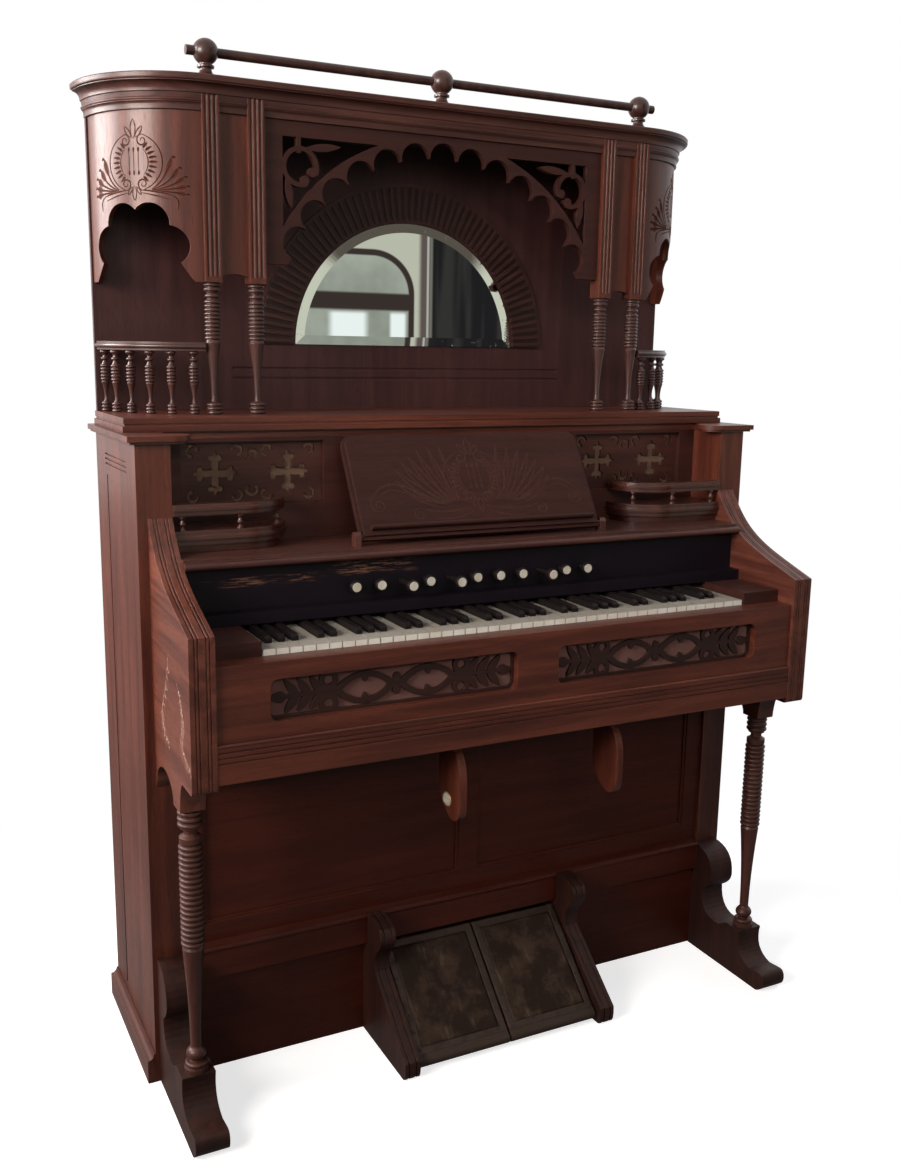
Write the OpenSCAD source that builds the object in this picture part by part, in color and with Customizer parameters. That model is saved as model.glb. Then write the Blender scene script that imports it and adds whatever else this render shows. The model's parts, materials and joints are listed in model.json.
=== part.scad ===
// Parlour reed organ with a piano-style case, mirror-backed canopy and top rail.
// Millimetres, Z up, the front faces -Y, origin on the floor under the middle.

/* [Overall] */
// Width of the case over its two sides
case_w = 1317; // [1260:1:1400]
// Depth from the arm fronts to the case back
overall_d = 600; // [570:1:660]
// Depth of the case from the post fronts to the back
case_d = 347; // [330:1:380]
// Height of the case sides
case_h = 1195; // [1170:1:1240]

/* [Case] */
// Thickness of the side boards
side_t = 22; // [16:1:30]
// Width of the corner posts seen from the front
post_w = 61; // [50:1:80]
// Thickness of the back boards
back_t = 12; // [8:1:20]
// Thickness of the floor board
floor_t = 20; // [14:1:26]
// Height of the floor board
floor_z = 60; // [40:1:80]
// Height of the side base moulding
plinth_h = 58; // [40:1:80]
// Reach of the side base moulding past the case side
plinth_out = 15; // [8:1:20]
// Distance of the stopped groove from the back edge
groove_y = 97; // [70:1:130]
// Width of the stopped groove
groove_w = 8; // [4:1:14]
// Depth of the stopped groove
groove_d = 5; // [2:0.5:8]
// Spacing of the three short incised lines
line_pitch = 9; // [6:1:12]
// Width of the incised lines
line_w = 3; // [2:0.5:4]
// Distance of the incised lines below the case top
line_top = 35; // [28:1:44]
// Distance of the incised lines from the post front
line_in = 75; // [66:1:84]
// Reach of the incised lines past the groove
line_end = 12; // [8:1:18]
// Distance of the groove end below the case top
groove_end = 75; // [66:1:90]

/* [Lower front] */
// Thickness of the framed lower front
frame_t = 22; // [16:1:30]
// Setback of the framed front behind the posts
frame_in = 7; // [3:1:15]
// Height of the rail under the recessed panels
panel_low = 42; // [30:1:60]
// Height of the rail over the recessed panels
panel_top = 80; // [60:1:110]
// Width of the end stiles
stile_w = 46; // [30:1:70]
// Half width of the middle stile
mid_stile = 28; // [20:1:45]
// Thickness of the panels
panel_t = 8; // [6:1:12]
// Width of the step round the panels
panel_step = 6; // [3:1:10]
// Underside height of the base rail
rail_z = 192; // [180:1:210]
// Height of the base rail
rail_h = 66; // [50:1:75]
// Reach of the base rail in front of the posts
rail_out = 12; // [6:1:20]
// Radius of the bead along the base rail
rail_bead = 5; // [3:0.5:7]
// Setback of the kick board behind the posts
kick_in = 2; // [1:1:6]
// Height of the sill under the treadle opening
sill_h = 15; // [10:1:20]

/* [Feet and columns] */
// Thickness of the scroll feet
foot_t = 60; // [44:1:70]
// Inset of the feet from the case side
foot_in = 8; // [0:1:15]
// Height of the column seats on the feet
seat_z = 108; // [95:1:130]
// Drop of the foot scrolls below the base rail top
foot_drop = 8; // [4:1:16]
// Height of the toes
toe_h = 42; // [34:1:48]
// Distance of the columns behind the arm fronts
column_out = 105; // [90:1:130]
// Radius of the ringed part of the columns
column_r = 19; // [15:0.5:23]
// Number of rings on each column
column_rings = 19; // [9:1:23]

/* [Arms and key bed] */
// Thickness of the arms
arm_t = 43; // [34:1:50]
// Drop of the arm fronts below the key bed
arm_drop = 45; // [30:1:55]
// Drop of the arm lobes over the columns below the arm fronts
lobe_drop = 58; // [45:1:70]
// Rise of the notch between the lobe and the post
notch_rise = 43; // [30:1:52]
// Height of the arm fronts
arm_front_h = 259; // [230:1:290]
// Rise of the arms over the shelf where they meet the posts
arm_rise = 65; // [50:1:90]
// Depth of the reeding along the arm edges
reed_d = 3; // [2:0.5:4]
// Thickness of the key bed
bed_t = 35; // [25:1:45]
// Height of the key tops over the underside of the key bed
bed_drop = 172; // [165:1:185]

/* [Keyboard] */
// Width of one natural key with its gap
key_pitch = 23.5; // [22:0.1:24]
// Least width of the blocks beside the keys
key_block_w = 90; // [80:1:120]
// Gap between keys
key_gap = 1.2; // [0.5:0.1:1.5]
// Height of the shelf top over the natural keys
key_drop = 131; // [125:1:140]
// Depth of the key bodies
key_body = 20; // [16:1:24]
// Visible length of the natural keys
key_len = 120; // [100:1:140]
// Length of the keys under the name strip
key_tail = 30; // [24:1:40]
// Length of the sharp keys
sharp_len = 82; // [70:1:95]
// Height of the sharps over the naturals
sharp_h = 11; // [8:0.5:12]
// Width of the sharp keys
sharp_w = 11; // [9:0.5:13]
// Gap from the slip face to the key fronts
slip_to_key = 43; // [35:1:60]
// Height of the black name strip
strip_h = 21; // [16:1:26]
// Clearance of the name strip over the sharps
strip_gap = 3; // [2:0.5:5]

/* [Key slip] */
// Setback of the key slip behind the arm fronts
slip_in = 6; // [5:1:12]
// Drop of the key slip below the key bed
slip_drop = 33; // [25:1:40]
// Drop of the slip top below the key tops
slip_low = 10; // [8:1:16]
// Thickness of the key slip board
slip_t = 20; // [14:1:26]
// Height of the thicker rail along the bottom of the slip
slip_rail_h = 64; // [50:1:80]
// Reach of that rail in front of the slip
slip_rail_out = 5; // [3:0.5:6]
// Distance of the first slip reed below the rail edge
reed_in = 9; // [6:0.5:14]
// Width and depth of the slip reeds
reed_w = 3; // [2:0.25:4]
// Spacing of the slip reeds
reed_pitch = 9; // [7:0.5:12]
// Drop of the slip frets below the slip top
slip_fret_low = 30; // [24:1:40]
// Height of the slip frets
slip_fret_h = 72; // [60:1:80]
// Inner end of the slip frets from the middle
slip_fret_in = 43; // [30:1:60]
// Distance of the slip frets from the arms
slip_fret_end = 91.5; // [80:0.5:110]
// Thickness of every fret plate
fret_t = 5; // [3:0.5:8]
// Width of the rim round every fret
fret_rim = 5; // [4:0.5:8]
// Thickness of the cloth behind the frets
cloth_t = 2; // [1:0.5:4]
// Lap of the cloth over the wood round the frets
cloth_lap = 6; // [4:1:10]

/* [Stops] */
// Number of stop knobs
stop_count = 11; // [7:1:11]
// Spacing of the stop knobs
stop_pitch = 49.8; // [44:0.1:52]
// First stop knob from the middle, to the left
stop_x = 287; // [270:1:300]
// Height of the stop knobs over the name strip
stop_up = 29; // [24:1:36]
// Thickness of the stop board
board_t = 12; // [8:1:16]
// Radius of the stop knob faces
stop_r = 11.5; // [9:0.5:13]
// Length of the stop knobs in front of the board
stop_out = 28; // [22:1:34]
// Travel of the stop knobs
stop_travel = 30; // [20:1:36]
// Radius of the stop rods
stop_rod_r = 5; // [4:0.5:6]
// Clearance round every rod and pin
pin_gap = 0.3; // [0.2:0.05:0.5]

/* [Shelf and music desk] */
// Height of the upper front over the shelf
upper_h = 192; // [180:1:240]
// Thickness of the shelf board
shelf_t = 18; // [14:1:20]
// Reach of the shelf in front of the stop board
shelf_out = 12; // [8:1:24]
// Reach of the nosing past the shelf
nosing_out = 14; // [8:1:20]
// Width of the music desk
desk_w = 524; // [480:1:540]
// Length of the music desk up its slope
desk_l = 206; // [190:1:212]
// Lean of the music desk from upright in degrees
desk_lean = 31; // [28:1:34]
// Thickness of the music desk
desk_t = 16; // [12:1:20]
// Radius of the upper corners of the music desk
desk_corner = 26; // [14:1:40]
// Distance of the music ledge ends from the desk ends
ledge_end = 20; // [12:1:30]
// Height of the music ledge over the desk hinge
ledge_up = 6; // [4:1:10]
// Reach of the music ledge from the desk
ledge_out = 9; // [6:0.5:12]
// Thickness of the music ledge
ledge_t = 8; // [6:0.5:10]
// Reach of the shelf in front of the desk hinge
desk_out = 30; // [26:1:38]
// Height of the desk hinge over the shelf
desk_up = 18; // [16:1:24]
// Thickness of the desk brackets
bracket_t = 12; // [8:1:16]
// Radius of the hinge pins
pin_r = 4; // [3:0.5:5]

/* [Upper front] */
// Clearance between the music desk and the upper fret wall
wall_in = 15; // [12:1:30]
// Thickness of the upper fret wall
wall_t = 18; // [14:1:24]
// Distance of the upper frets from the music desk
up_fret_in = 22; // [15:1:30]
// Distance of the upper frets from the posts
up_fret_end = 39.5; // [30:0.5:60]
// Drop of the upper frets below the case top
up_fret_low = 7; // [6:1:12]
// Height of the upper frets
up_fret_h = 116; // [90:1:118]
// Distance of the lamp shelves from the music desk
lamp_gap = 103.5; // [90:0.5:130]
// Reach of the lamp shelves from the wall
lamp_d = 100; // [80:1:110]
// Thickness of the lamp trays
lamp_t = 26; // [20:1:30]
// Height of the foot under the lamp trays
lamp_foot = 14; // [8:1:18]
// Height of the lamp shelf rails over the trays
lamp_h = 46; // [40:1:58]
// Height of the lamp shelf rails themselves
lamp_rail = 20; // [14:1:24]

/* [Canopy] */
// Thickness of the case top moulding
cap_t = 14; // [10:1:20]
// Overhang of the case top moulding
cap_out = 15; // [8:1:20]
// Reach of the canopy base board in front of the case top
cap_lip = 14; // [8:1:20]
// Thickness of the canopy base board
base_t = 25; // [18:1:30]
// Reach of the canopy base board in front of the canopy
base_in = 81; // [70:1:90]
// Radius of the quarter-round canopy ends
end_r = 185; // [170:1:190]
// Setback of the canopy ends from the case sides
end_in = 2.5; // [2:0.5:6]
// Thickness of the quarter-round end panels
end_t = 12; // [8:1:16]
// Distance between the pilasters of each pair
bay_w = 84; // [70:1:96]
// Width of the pilasters
pil_w = 32; // [24:1:36]
// Height of the pilaster bottoms over the base board
pil_z = 240; // [220:1:260]
// Depth of the pilasters
pil_d = 34; // [26:1:38]
// Reach of the pilasters in front of the canopy
pil_out = 6; // [4:1:10]
// Rise of the pilasters into the cornice
pil_up = 28; // [16:1:34]
// Height of the baluster rail over the base board
gal_h = 132; // [110:1:150]
// Height of the baluster rail itself
gal_rail = 16; // [12:1:20]
// Number of balusters on each end
gal_count = 6; // [4:1:7]
// Height of the mirror foot over the base board
mirror_z = 132; // [120:1:140]
// Thickness of the mirror
mirror_t = 6; // [4:1:8]
// Width of the fluted fan round the mirror
fan_w = 79; // [60:1:90]
// Clearance between the fan and the arch
fan_gap = 18; // [10:1:30]
// Number of ribs on the fan
fan_ribs = 60; // [36:2:72]
// Rise of the arch centre over the mirror foot
arch_up = 10; // [0:1:20]
// Thickness of the arch panel
arch_t = 14; // [10:1:18]
// Least width of the arch panel beside the opening
arch_side = 19; // [15:1:30]
// Wood over the top of the arch
arch_top = 12; // [8:1:24]
// Number of scallops round the arch
scallops = 13; // [9:2:15]
// Radius of the scallops
scallop_r = 30; // [24:1:34]
// Width of the wood round the corner frets
corner_w = 37; // [28:1:44]
// Height of the cornice
cornice_h = 58; // [44:1:70]
// Reach of the cornice past the canopy front
cornice_out = 24; // [18:1:30]

/* [Top rail] */
// Radius of the rail balls
ball_r = 23; // [18:0.5:26]
// Height of the rail over the cornice
rod_z = 45; // [40:1:55]
// Distance of the rail behind the canopy front
rod_in = 19; // [14:1:26]
// Radius of the top rail
rod_r = 8.5; // [6:0.5:10]
// Reach of the top rail past the end balls
rod_over = 36; // [30:1:60]

/* [Treadles] */
// Outer half width over the treadle cheeks
cheek_x = 237; // [215:1:250]
// Thickness of the treadle cheeks
cheek_t = 32; // [24:1:40]
// Reach of the cheeks in front of the posts
cheek_out = 202; // [190:1:210]
// Top height of the cheek scrolls
cheek_h = 262; // [250:1:280]
// Thickness of the treadle boards
treadle_t = 14; // [10:1:18]
// Length of the treadle boards
treadle_l = 238; // [220:1:240]
// Slope of the treadles at rest in degrees
treadle_tilt = 42; // [38:1:43]
// Side clearance of each treadle
treadle_gap = 5; // [5:0.5:8]
// Width of the rim round the treadle covering
treadle_rim = 14; // [8:1:20]
// Distance of the treadle hinge behind the cheek fronts
hinge_in = 20; // [16:1:26]
// Height of the treadle hinge
hinge_z = 18; // [14:1:22]
// Radius of the treadle hinge barrels
barrel_r = 9; // [7:0.5:11]

/* [Knee levers] */
// Left knee lever from the middle
knee_x1 = 145; // [130:1:170]
// Right knee lever from the middle
knee_x2 = 196; // [170:1:215]
// Thickness of the knee levers
knee_t = 15; // [12:1:20]
// Radius of the lever hubs
knee_hub_r = 11; // [9:0.5:13]
// Length of the knee levers below their pins
knee_l = 156; // [140:1:170]
// Depth of the knee levers from front to back
knee_d = 84; // [70:1:95]
// Drop of the lever pins below the key bed
knee_drop = 28; // [22:1:34]
// Distance of the lever hubs behind the key slip
knee_in = 14; // [12:1:20]
// Length of the lever hubs
knee_hub = 58; // [44:1:64]
// Thickness of the lever lugs
lug_t = 8; // [6:1:10]

/* [Hidden] */
$fn = 48;
cut = 1;
y_back = overall_d / 2;
y_front = -overall_d / 2;
y_post = y_back - case_d;
x_side = case_w / 2;
x_in = x_side - post_w;
// Shelf and keyboard
shelf_z = case_h - upper_h;
shelf_bottom = shelf_z - shelf_t;
key_z = shelf_z - key_drop;
bed_z = key_z - bed_drop;
bed_top = bed_z + bed_t;
y_slip = y_front + slip_in;
slip_back = y_slip + slip_t;
slip_z = bed_z - slip_drop;
slip_top = key_z - slip_low;
slip_fret_z = slip_top - slip_fret_low - slip_fret_h;
slip_fret_out = x_in - slip_fret_end;
y_key = y_slip + slip_to_key;
y_key_back = y_key + key_len;
key_count = floor(2 * (x_in - key_block_w) / key_pitch);
key_half = key_count * key_pitch / 2;
sharp_top = key_z + sharp_h;
strip_z = sharp_top + strip_gap;
strip_top = strip_z + strip_h;
y_stop = y_key_back + key_tail;
stop_z = strip_top + stop_up;
y_shelf = y_stop - shelf_out;
// Music desk and upper front
y_desk = y_shelf + desk_out;
z_desk = shelf_z + desk_up;
desk_half = desk_w / 2;
desk_foot = desk_up / 2;
y_wall = y_desk + desk_l * sin(desk_lean) + desk_t / 2 * cos(desk_lean) + wall_in;
wall_back = y_wall + wall_t;
up_fret_x = desk_half + up_fret_in;
up_fret_out = x_in - up_fret_end;
up_fret_z = case_h - up_fret_low - up_fret_h;
lamp_x = desk_half + lamp_gap;
lamp_z = shelf_z + lamp_foot;
// Lower front
y_frame = y_post + frame_in;
frame_back = y_frame + frame_t;
x_foot = x_side - foot_in - foot_t;
rail_top = rail_z + rail_h;
y_rail = y_post - rail_out;
y_kick = y_post + kick_in;
panel_z = rail_top + panel_low;
panel_end = bed_z - panel_top;
bed_back = max(frame_back, y_stop + board_t);
// Arms and columns
arm_z = bed_z - arm_drop;
arm_top = arm_z + arm_front_h;
arm_back_z = shelf_z + arm_rise;
lobe_z = arm_z - lobe_drop;
x_column = x_in + arm_t / 2;
y_column = y_front + column_out;
column_base = column_r + 2;
// Canopy
base_z = case_h + cap_t;
can_z = base_z + base_t;
x_end = x_side - end_r - end_in;
pil_x1 = x_end;
pil_x2 = pil_x1 - bay_w;
x_arch = pil_x2 - pil_w / 2;
arch_r = x_arch - arch_side;
fan_r = arch_r - fan_gap;
mirror_r = fan_r - fan_w - cut;
mirror_foot = can_z + mirror_z;
arch_z = mirror_foot + arch_up;
can_top = arch_z + arch_r + scallop_r + arch_top;
canopy_h = can_top - can_z;
y_can = y_back - end_r;
y_base = y_can - base_in;
y_inner = y_back - back_t;
y_pil = y_can - pil_out;
pil_mid = y_pil + pil_d / 2;
pil_bottom = can_z + pil_z;
pil_top = can_top + pil_up;
cornice_top = can_top + cornice_h;
rod_y = y_can + rod_in;
rod_height = cornice_top + rod_z;
// Treadles and knee levers
y_hinge = y_post - cheek_out + hinge_in;
cheek_in = cheek_x - cheek_t;
knee_pin_z = bed_z - knee_drop;
knee_z = knee_pin_z - knee_l;
knee_y = slip_back + knee_in;
knee_back = knee_y + knee_hub;
hub_gap = 0.5;

// A box between three pairs of limits
module block(x, y, z) {
    translate([x[0], y[0], z[0]])
        cube([x[1] - x[0], y[1] - y[0], z[1] - z[0]]);
}

// A flat outline drawn in Y and Z, thickened along X from x0
module across(x0, t) {
    translate([x0, 0, 0])
        rotate([90, 0, 90])
            linear_extrude(t)
                children();
}

// A flat outline drawn in X and Z, thickened along Y from y0
module along(y0, t) {
    translate([0, y0 + t, 0])
        rotate([90, 0, 0])
            linear_extrude(t)
                children();
}

// A flat plan drawn in X and Y, thickened upwards from z0
module upward(z0, t) {
    translate([0, 0, z0])
        linear_extrude(t)
            children();
}

// The same shape on the right and mirrored on the left
module both() {
    children();
    mirror([1, 0, 0]) children();
}

// Points of a curve from a to c that is drawn towards b
function curve(a, b, c, n = 8) = [for (i = [0:n]) let (t = i / n)
    (1 - t) * (1 - t) * a + 2 * t * (1 - t) * b + t * t * c];

// A row of rounded rings up a turned profile
module ring_row(r, z0, z1, n) {
    step = (z1 - z0) / n;
    for (i = [0:n - 1])
        translate([r, z0 + step * (i + 0.5)]) circle(step * 0.42, $fn = 16);
}

// Case side with its corner post, stopped groove and three short incised lines
module side_board() {
    lines_top = case_h - line_top;
    difference() {
        union() {
            block([x_side - side_t, x_side], [y_post, y_back], [0, case_h]);
            block([x_in, x_side - side_t / 2], [y_post, wall_back], [0, case_h]);
        }
        block([x_side - groove_d, x_side + cut], [y_back - groove_y - groove_w, y_back - groove_y],
            [plinth_h * 1.3, case_h - groove_end]);
        for (i = [0:2])
            block([x_side - line_w, x_side + cut], [y_post + line_in, y_back - groove_y + line_end],
                [lines_top - line_w - i * line_pitch, lines_top - i * line_pitch]);
    }
}

module left_side() {
    color("#6b3a2a") mirror([1, 0, 0]) side_board();
}

module right_side() {
    color("#6b3a2a") side_board();
}

module case_back() {
    color("#5a3526")
        block([side_t - x_side, x_side - side_t], [y_inner, y_back], [0, case_h]);
}

module case_floor() {
    color("#5a3526")
        block([side_t - x_side, x_side - side_t], [wall_back, y_inner], [floor_z, floor_z + floor_t]);
}

// Base moulding: a board with a cove along its top edge
module plinth() {
    color("#5e3325") both() translate([x_side, y_back, 0]) rotate([90, 0, 0])
        linear_extrude(case_d) difference() {
            square([plinth_out, plinth_h]);
            translate([plinth_out, plinth_h]) circle(plinth_out * 0.8);
        }
}

module lower_frame() {
    x1 = x_in - stile_w;
    s = panel_step;
    color("#6a3a2a") difference() {
        block([-x_in, x_in], [y_frame, frame_back], [rail_top, bed_z]);
        both() {
            block([mid_stile, x1], [y_frame - cut, frame_back + cut], [panel_z, panel_end]);
            block([mid_stile - s, x1 + s], [y_frame - cut, y_frame + s / 2],
                [panel_z - s, panel_end + s]);
        }
    }
}

module lower_panels() {
    y = y_frame + (frame_t - panel_t) / 2;
    color("#713f2c") both()
        block([mid_stile, x_in - stile_w], [y, y + panel_t], [panel_z, panel_end]);
}

// Base rail with a round bead along the top of its face
module base_rail() {
    color("#653726") across(-x_foot, 2 * x_foot) {
        translate([y_rail, rail_z]) square([frame_back - y_rail, rail_h]);
        translate([y_rail + 1, rail_top - 1.6 * rail_bead]) circle(rail_bead);
    }
}

module kick_board() {
    color("#5a3023") difference() {
        block([-x_in, x_in], [y_kick, y_kick + frame_t], [0, rail_z]);
        block([-cheek_in, cheek_in], [y_kick - cut, y_kick + frame_t + cut], [sill_h, rail_z + cut]);
    }
}

// Outline of a scroll foot: bracket against the post, seat under the column, toe in front
module foot_outline() {
    h = rail_top - foot_drop;
    s = seat_z;
    r = column_base + 1;
    gap = y_post - y_column - r;
    y0 = y_column + r;
    y1 = y_column - r;
    waist = y_post - 0.3 * gap;
    bulge = y_post - 0.54 * gap;
    polygon(concat(
        [[y_post, 0]],
        curve([y_post, h], [bulge, h], [bulge, s + 0.58 * (h - s)]),
        curve([bulge, s + 0.58 * (h - s)], [bulge, s + 0.43 * (h - s)], [waist, s + 0.3 * (h - s)]),
        curve([waist, s + 0.3 * (h - s)], [waist, s * 0.8], [y0 + 0.2 * gap, s * 0.86]),
        [[y0, s]],
        curve([y1, s], [y1 + 0.6 * r, toe_h * 1.2], [y1 - 0.45 * (y1 - y_front), toe_h * 0.93]),
        curve([y_front + toe_h * 0.4, toe_h], [y_front, toe_h * 1.05], [y_front, toe_h * 0.6]),
        curve([y_front, toe_h * 0.6], [y_front, toe_h * 0.2], [y_front + toe_h * 0.5, 0])));
}

module feet() {
    color("#5f3424") both() across(x_foot, foot_t) foot_outline();
}

// Half profile of a front column as a turning
module column_profile(h) {
    r = column_r;
    polygon(concat(
        [[0, 0], [column_base, 0], [column_base, h * 0.016], [r * 0.8, h * 0.02], [r * 0.8, h * 0.036]],
        curve([r * 0.5, h * 0.04], [r * 1.3, h * 0.066], [r * 0.55, h * 0.09]),
        curve([r * 0.5, h * 0.095], [r * 0.5, h * 0.26], [r, h * 0.475]),
        [[r * 0.88, h * 0.485], [r * 0.88, h * 0.868], [r, h * 0.874], [r, h * 0.895],
            [r * 0.6, h * 0.905], [r * 0.6, h * 0.92], [r * 0.88, h * 0.925], [r * 0.88, h], [0, h]]));
    translate([r * 0.8, h * 0.028]) circle(h * 0.01);
    ring_row(r * 0.88, h * 0.485, h * 0.868, column_rings);
    ring_row(r * 0.88, h * 0.93, h * 0.995, 3);
}

module front_columns() {
    color("#5b3022") both()
        translate([x_column, y_column, seat_z]) rotate_extrude()
            column_profile(lobe_z - seat_z);
}

// Height of the arm edge at a share of the way from front to post
function arm_edge(t) = arm_top + (arm_back_z - arm_top) * (0.56 * t + 0.44 * pow(t, 5));

// Side outline of an arm, with its front and sloping edge set back by an inset
module arm_outline(inset) {
    reach = y_post - y_front - inset;
    steps = 24;
    lobe_y = y_column - column_base - 2;
    notch_y = y_column + column_base;
    notch_end = y_post - 8;
    half = (notch_end - notch_y) / 2;
    polygon(concat(
        [for (i = [0:steps]) [y_front + inset + reach * i / steps, arm_edge(i / steps) - inset]],
        [[y_post, lobe_z - 14], [notch_end, lobe_z]],
        [for (a = [12:12:168]) [notch_y + half + half * cos(a), lobe_z + notch_rise * sin(a)]],
        [[notch_y, lobe_z]],
        curve([lobe_y, lobe_z], [lobe_y - 4, arm_z], [y_front + column_out * 0.55, arm_z]),
        curve([y_front + 10, arm_z], [y_front + inset, arm_z], [y_front + inset, arm_z + 10])));
}

// An arm with five reeds standing along its front and sloping edge
module arm() {
    across(x_in, arm_t) arm_outline(reed_d);
    for (s = [[0, 0.19], [0.24, 0.32], [0.37, 0.63], [0.68, 0.76], [0.81, 1]])
        across(x_in + s[0] * arm_t, (s[1] - s[0]) * arm_t) arm_outline(0);
}

module left_arm() {
    color("#70402e") mirror([1, 0, 0]) arm();
}

module right_arm() {
    color("#70402e") arm();
}

// A lug pair with its pin for one knee lever, hanging from the key bed
module knee_lugs(x) {
    lug_r = pin_r + 6;
    for (y = [knee_y - lug_t, knee_back])
        along(y, lug_t) {
            translate([x, knee_pin_z]) circle(lug_r);
            translate([x - lug_r, knee_pin_z]) square([2 * lug_r, knee_drop + cut]);
        }
    translate([x, knee_y - lug_t / 2, knee_pin_z]) rotate([-90, 0, 0])
        cylinder(r = pin_r, h = knee_hub + lug_t);
}

// Key bed with the two rails that carry the keys
module key_bed() {
    rail_w = 26;
    color("#54301f") {
        block([-x_in, x_in], [slip_back, bed_back], [bed_z, bed_top]);
        for (y = [y_key + rail_w, y_key_back - rail_w / 2])
            block([-key_half, key_half], [y, y + rail_w], [bed_top - cut, key_z - key_body]);
        knee_lugs(-knee_x1);
        knee_lugs(knee_x2);
    }
}

// Outline of a slip fret from its middle, rounded at both ends
module slip_fret_outline(w, h, r) {
    square([w - 2 * r, h], center = true);
    square([w, h - 2 * r], center = true);
    for (s = [-1, 1])
        for (v = [-1, 1])
            translate([s * (w / 2 - r), v * (h / 2 - r)]) circle(r);
}

// Key slip with a moulded lower rail, a ledge under the keys and two fret openings
module key_slip() {
    w = slip_fret_out - slip_fret_in;
    rail_top_z = slip_z + slip_rail_h;
    bead = slip_rail_out * 0.6;
    reed_z = rail_top_z - reed_in;
    color("#713f2a") difference() {
        union() {
            block([-x_in, x_in], [y_slip, slip_back], [slip_z, slip_top]);
            block([-x_in, x_in], [y_slip - slip_rail_out, slip_back], [slip_z, rail_top_z]);
            block([-x_in, x_in], [y_slip, y_key - 2], [slip_top - slip_low, slip_top]);
            across(-x_in, 2 * x_in)
                translate([y_slip - bead, rail_top_z]) circle(bead);
        }
        both() translate([slip_fret_in + w / 2, 0, slip_fret_z + slip_fret_h / 2])
            along(y_slip - slip_t, 2 * slip_t + cut)
                slip_fret_outline(w, slip_fret_h, slip_fret_h * 0.2);
        for (i = [0:2])
            block([-x_in - cut, x_in + cut],
                [y_slip - slip_rail_out - cut, y_slip - slip_rail_out + reed_w],
                [reed_z - i * reed_pitch - reed_w, reed_z - i * reed_pitch]);
    }
}

// One lobed leaf of a fret, pointing along X
module leaf(l, w) {
    polygon([for (a = [0:20:340]) [l / 2 + l / 2 * cos(a), w / 2 * sin(a) * (1 - 0.35 * cos(a))]]);
}

// A lens shape made by two overlapping discs
module lens(l, w) {
    r = (l * l + w * w) / (4 * w);
    intersection() {
        translate([0, r - w / 2]) circle(r);
        translate([0, w / 2 - r]) circle(r);
    }
}

// A spray of seven leaves on a stem growing along X
module leaf_spray(l, h) {
    translate([0, -h * 0.045]) square([l, h * 0.09]);
    translate([l * 0.72, 0]) leaf(l * 0.28, h * 0.24);
    for (v = [-1, 1], i = [0:2])
        translate([l * (0.02 + 0.24 * i), 0]) rotate(v * 52) leaf(h * 0.5, h * 0.19);
}

// Wood left standing in one slip fret, drawn from its middle
module slip_fret_wood(w, h) {
    r = h * 0.2;
    bar = w * 0.06;
    difference() {
        slip_fret_outline(w, h, r);
        slip_fret_outline(w - 2 * fret_rim, h - 2 * fret_rim, r - fret_rim);
    }
    circle(h * 0.13);
    for (v = [-1, 1]) translate([0, v * h * 0.17]) circle(h * 0.1);
    for (s = [-1, 1]) {
        translate([s * w * 0.128, 0]) difference() {
            lens(w * 0.25, h * 0.78);
            lens(w * 0.18, h * 0.52);
        }
        for (v = [-1, 1]) translate([s * w * 0.128, v * h * 0.33]) rotate(-90 * v) leaf(h * 0.2, h * 0.16);
        translate([s * w * 0.27, 0]) difference() {
            union() {
                square([bar, h], center = true);
                circle(h * 0.2);
                for (v = [-1, 1]) translate([0, v * h * 0.28]) circle(bar * 0.62);
            }
            for (v = [-1, 1]) translate([0, v * h * 0.28]) circle(h * 0.11);
        }
        mirror([s > 0 ? 0 : 1, 0]) translate([w * 0.29, 0]) leaf_spray(w * 0.2, h);
    }
}

module slip_frets() {
    w = slip_fret_out - slip_fret_in;
    color("#5d3424") both()
        translate([slip_fret_in + w / 2, 0, slip_fret_z + slip_fret_h / 2])
            along(slip_back - fret_t, fret_t) intersection() {
                slip_fret_outline(w, slip_fret_h, slip_fret_h * 0.2);
                slip_fret_wood(w, slip_fret_h);
            }
}

module slip_cloth() {
    color("#b08a70") both()
        block([slip_fret_in - cloth_lap, slip_fret_out + cloth_lap], [slip_back, slip_back + cloth_t],
            [slip_fret_z - cloth_lap, slip_fret_z + slip_fret_h + cloth_lap]);
}

module key_blocks() {
    color("#3a2119") both()
        block([key_half + 2, x_in], [y_key - 2, y_stop], [bed_top, strip_z]);
}

// Left edge of a natural key
function key_x(i) = i * key_pitch - key_half;

// True where a sharp stands between natural i and the next, starting from the fourth note
function has_sharp(i) = len([for (s = [0, 1, 2, 4, 5]) if (i % 7 == s) s]) > 0;

module white_keys() {
    side = sharp_w / 2 + key_gap;
    color("#e9e4d6") difference() {
        for (i = [0:key_count - 1])
            block([key_x(i) + key_gap / 2, key_x(i + 1) - key_gap / 2], [y_key, y_stop],
                [key_z - key_body, key_z]);
        for (i = [0:key_count - 2])
            if (has_sharp(i))
                block([key_x(i + 1) - side, key_x(i + 1) + side],
                    [y_key_back - sharp_len - key_gap, y_stop + cut],
                    [key_z - key_body - cut, key_z + cut]);
    }
}

module black_keys() {
    y = y_key_back - sharp_len;
    low = key_z - key_body;
    color("#1c1715")
        for (i = [0:key_count - 2])
            if (has_sharp(i))
                across(key_x(i + 1) - sharp_w / 2, sharp_w)
                    polygon([[y, low], [y, key_z + sharp_h * 0.6], [y + sharp_h * 0.7, sharp_top],
                        [y_stop, sharp_top], [y_stop, low]]);
}

module name_strip() {
    color("#1a1514")
        block([-x_in, x_in], [y_key_back, y_stop], [strip_z, strip_top]);
}

function stop_at(i) = i * stop_pitch - stop_x;

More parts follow.
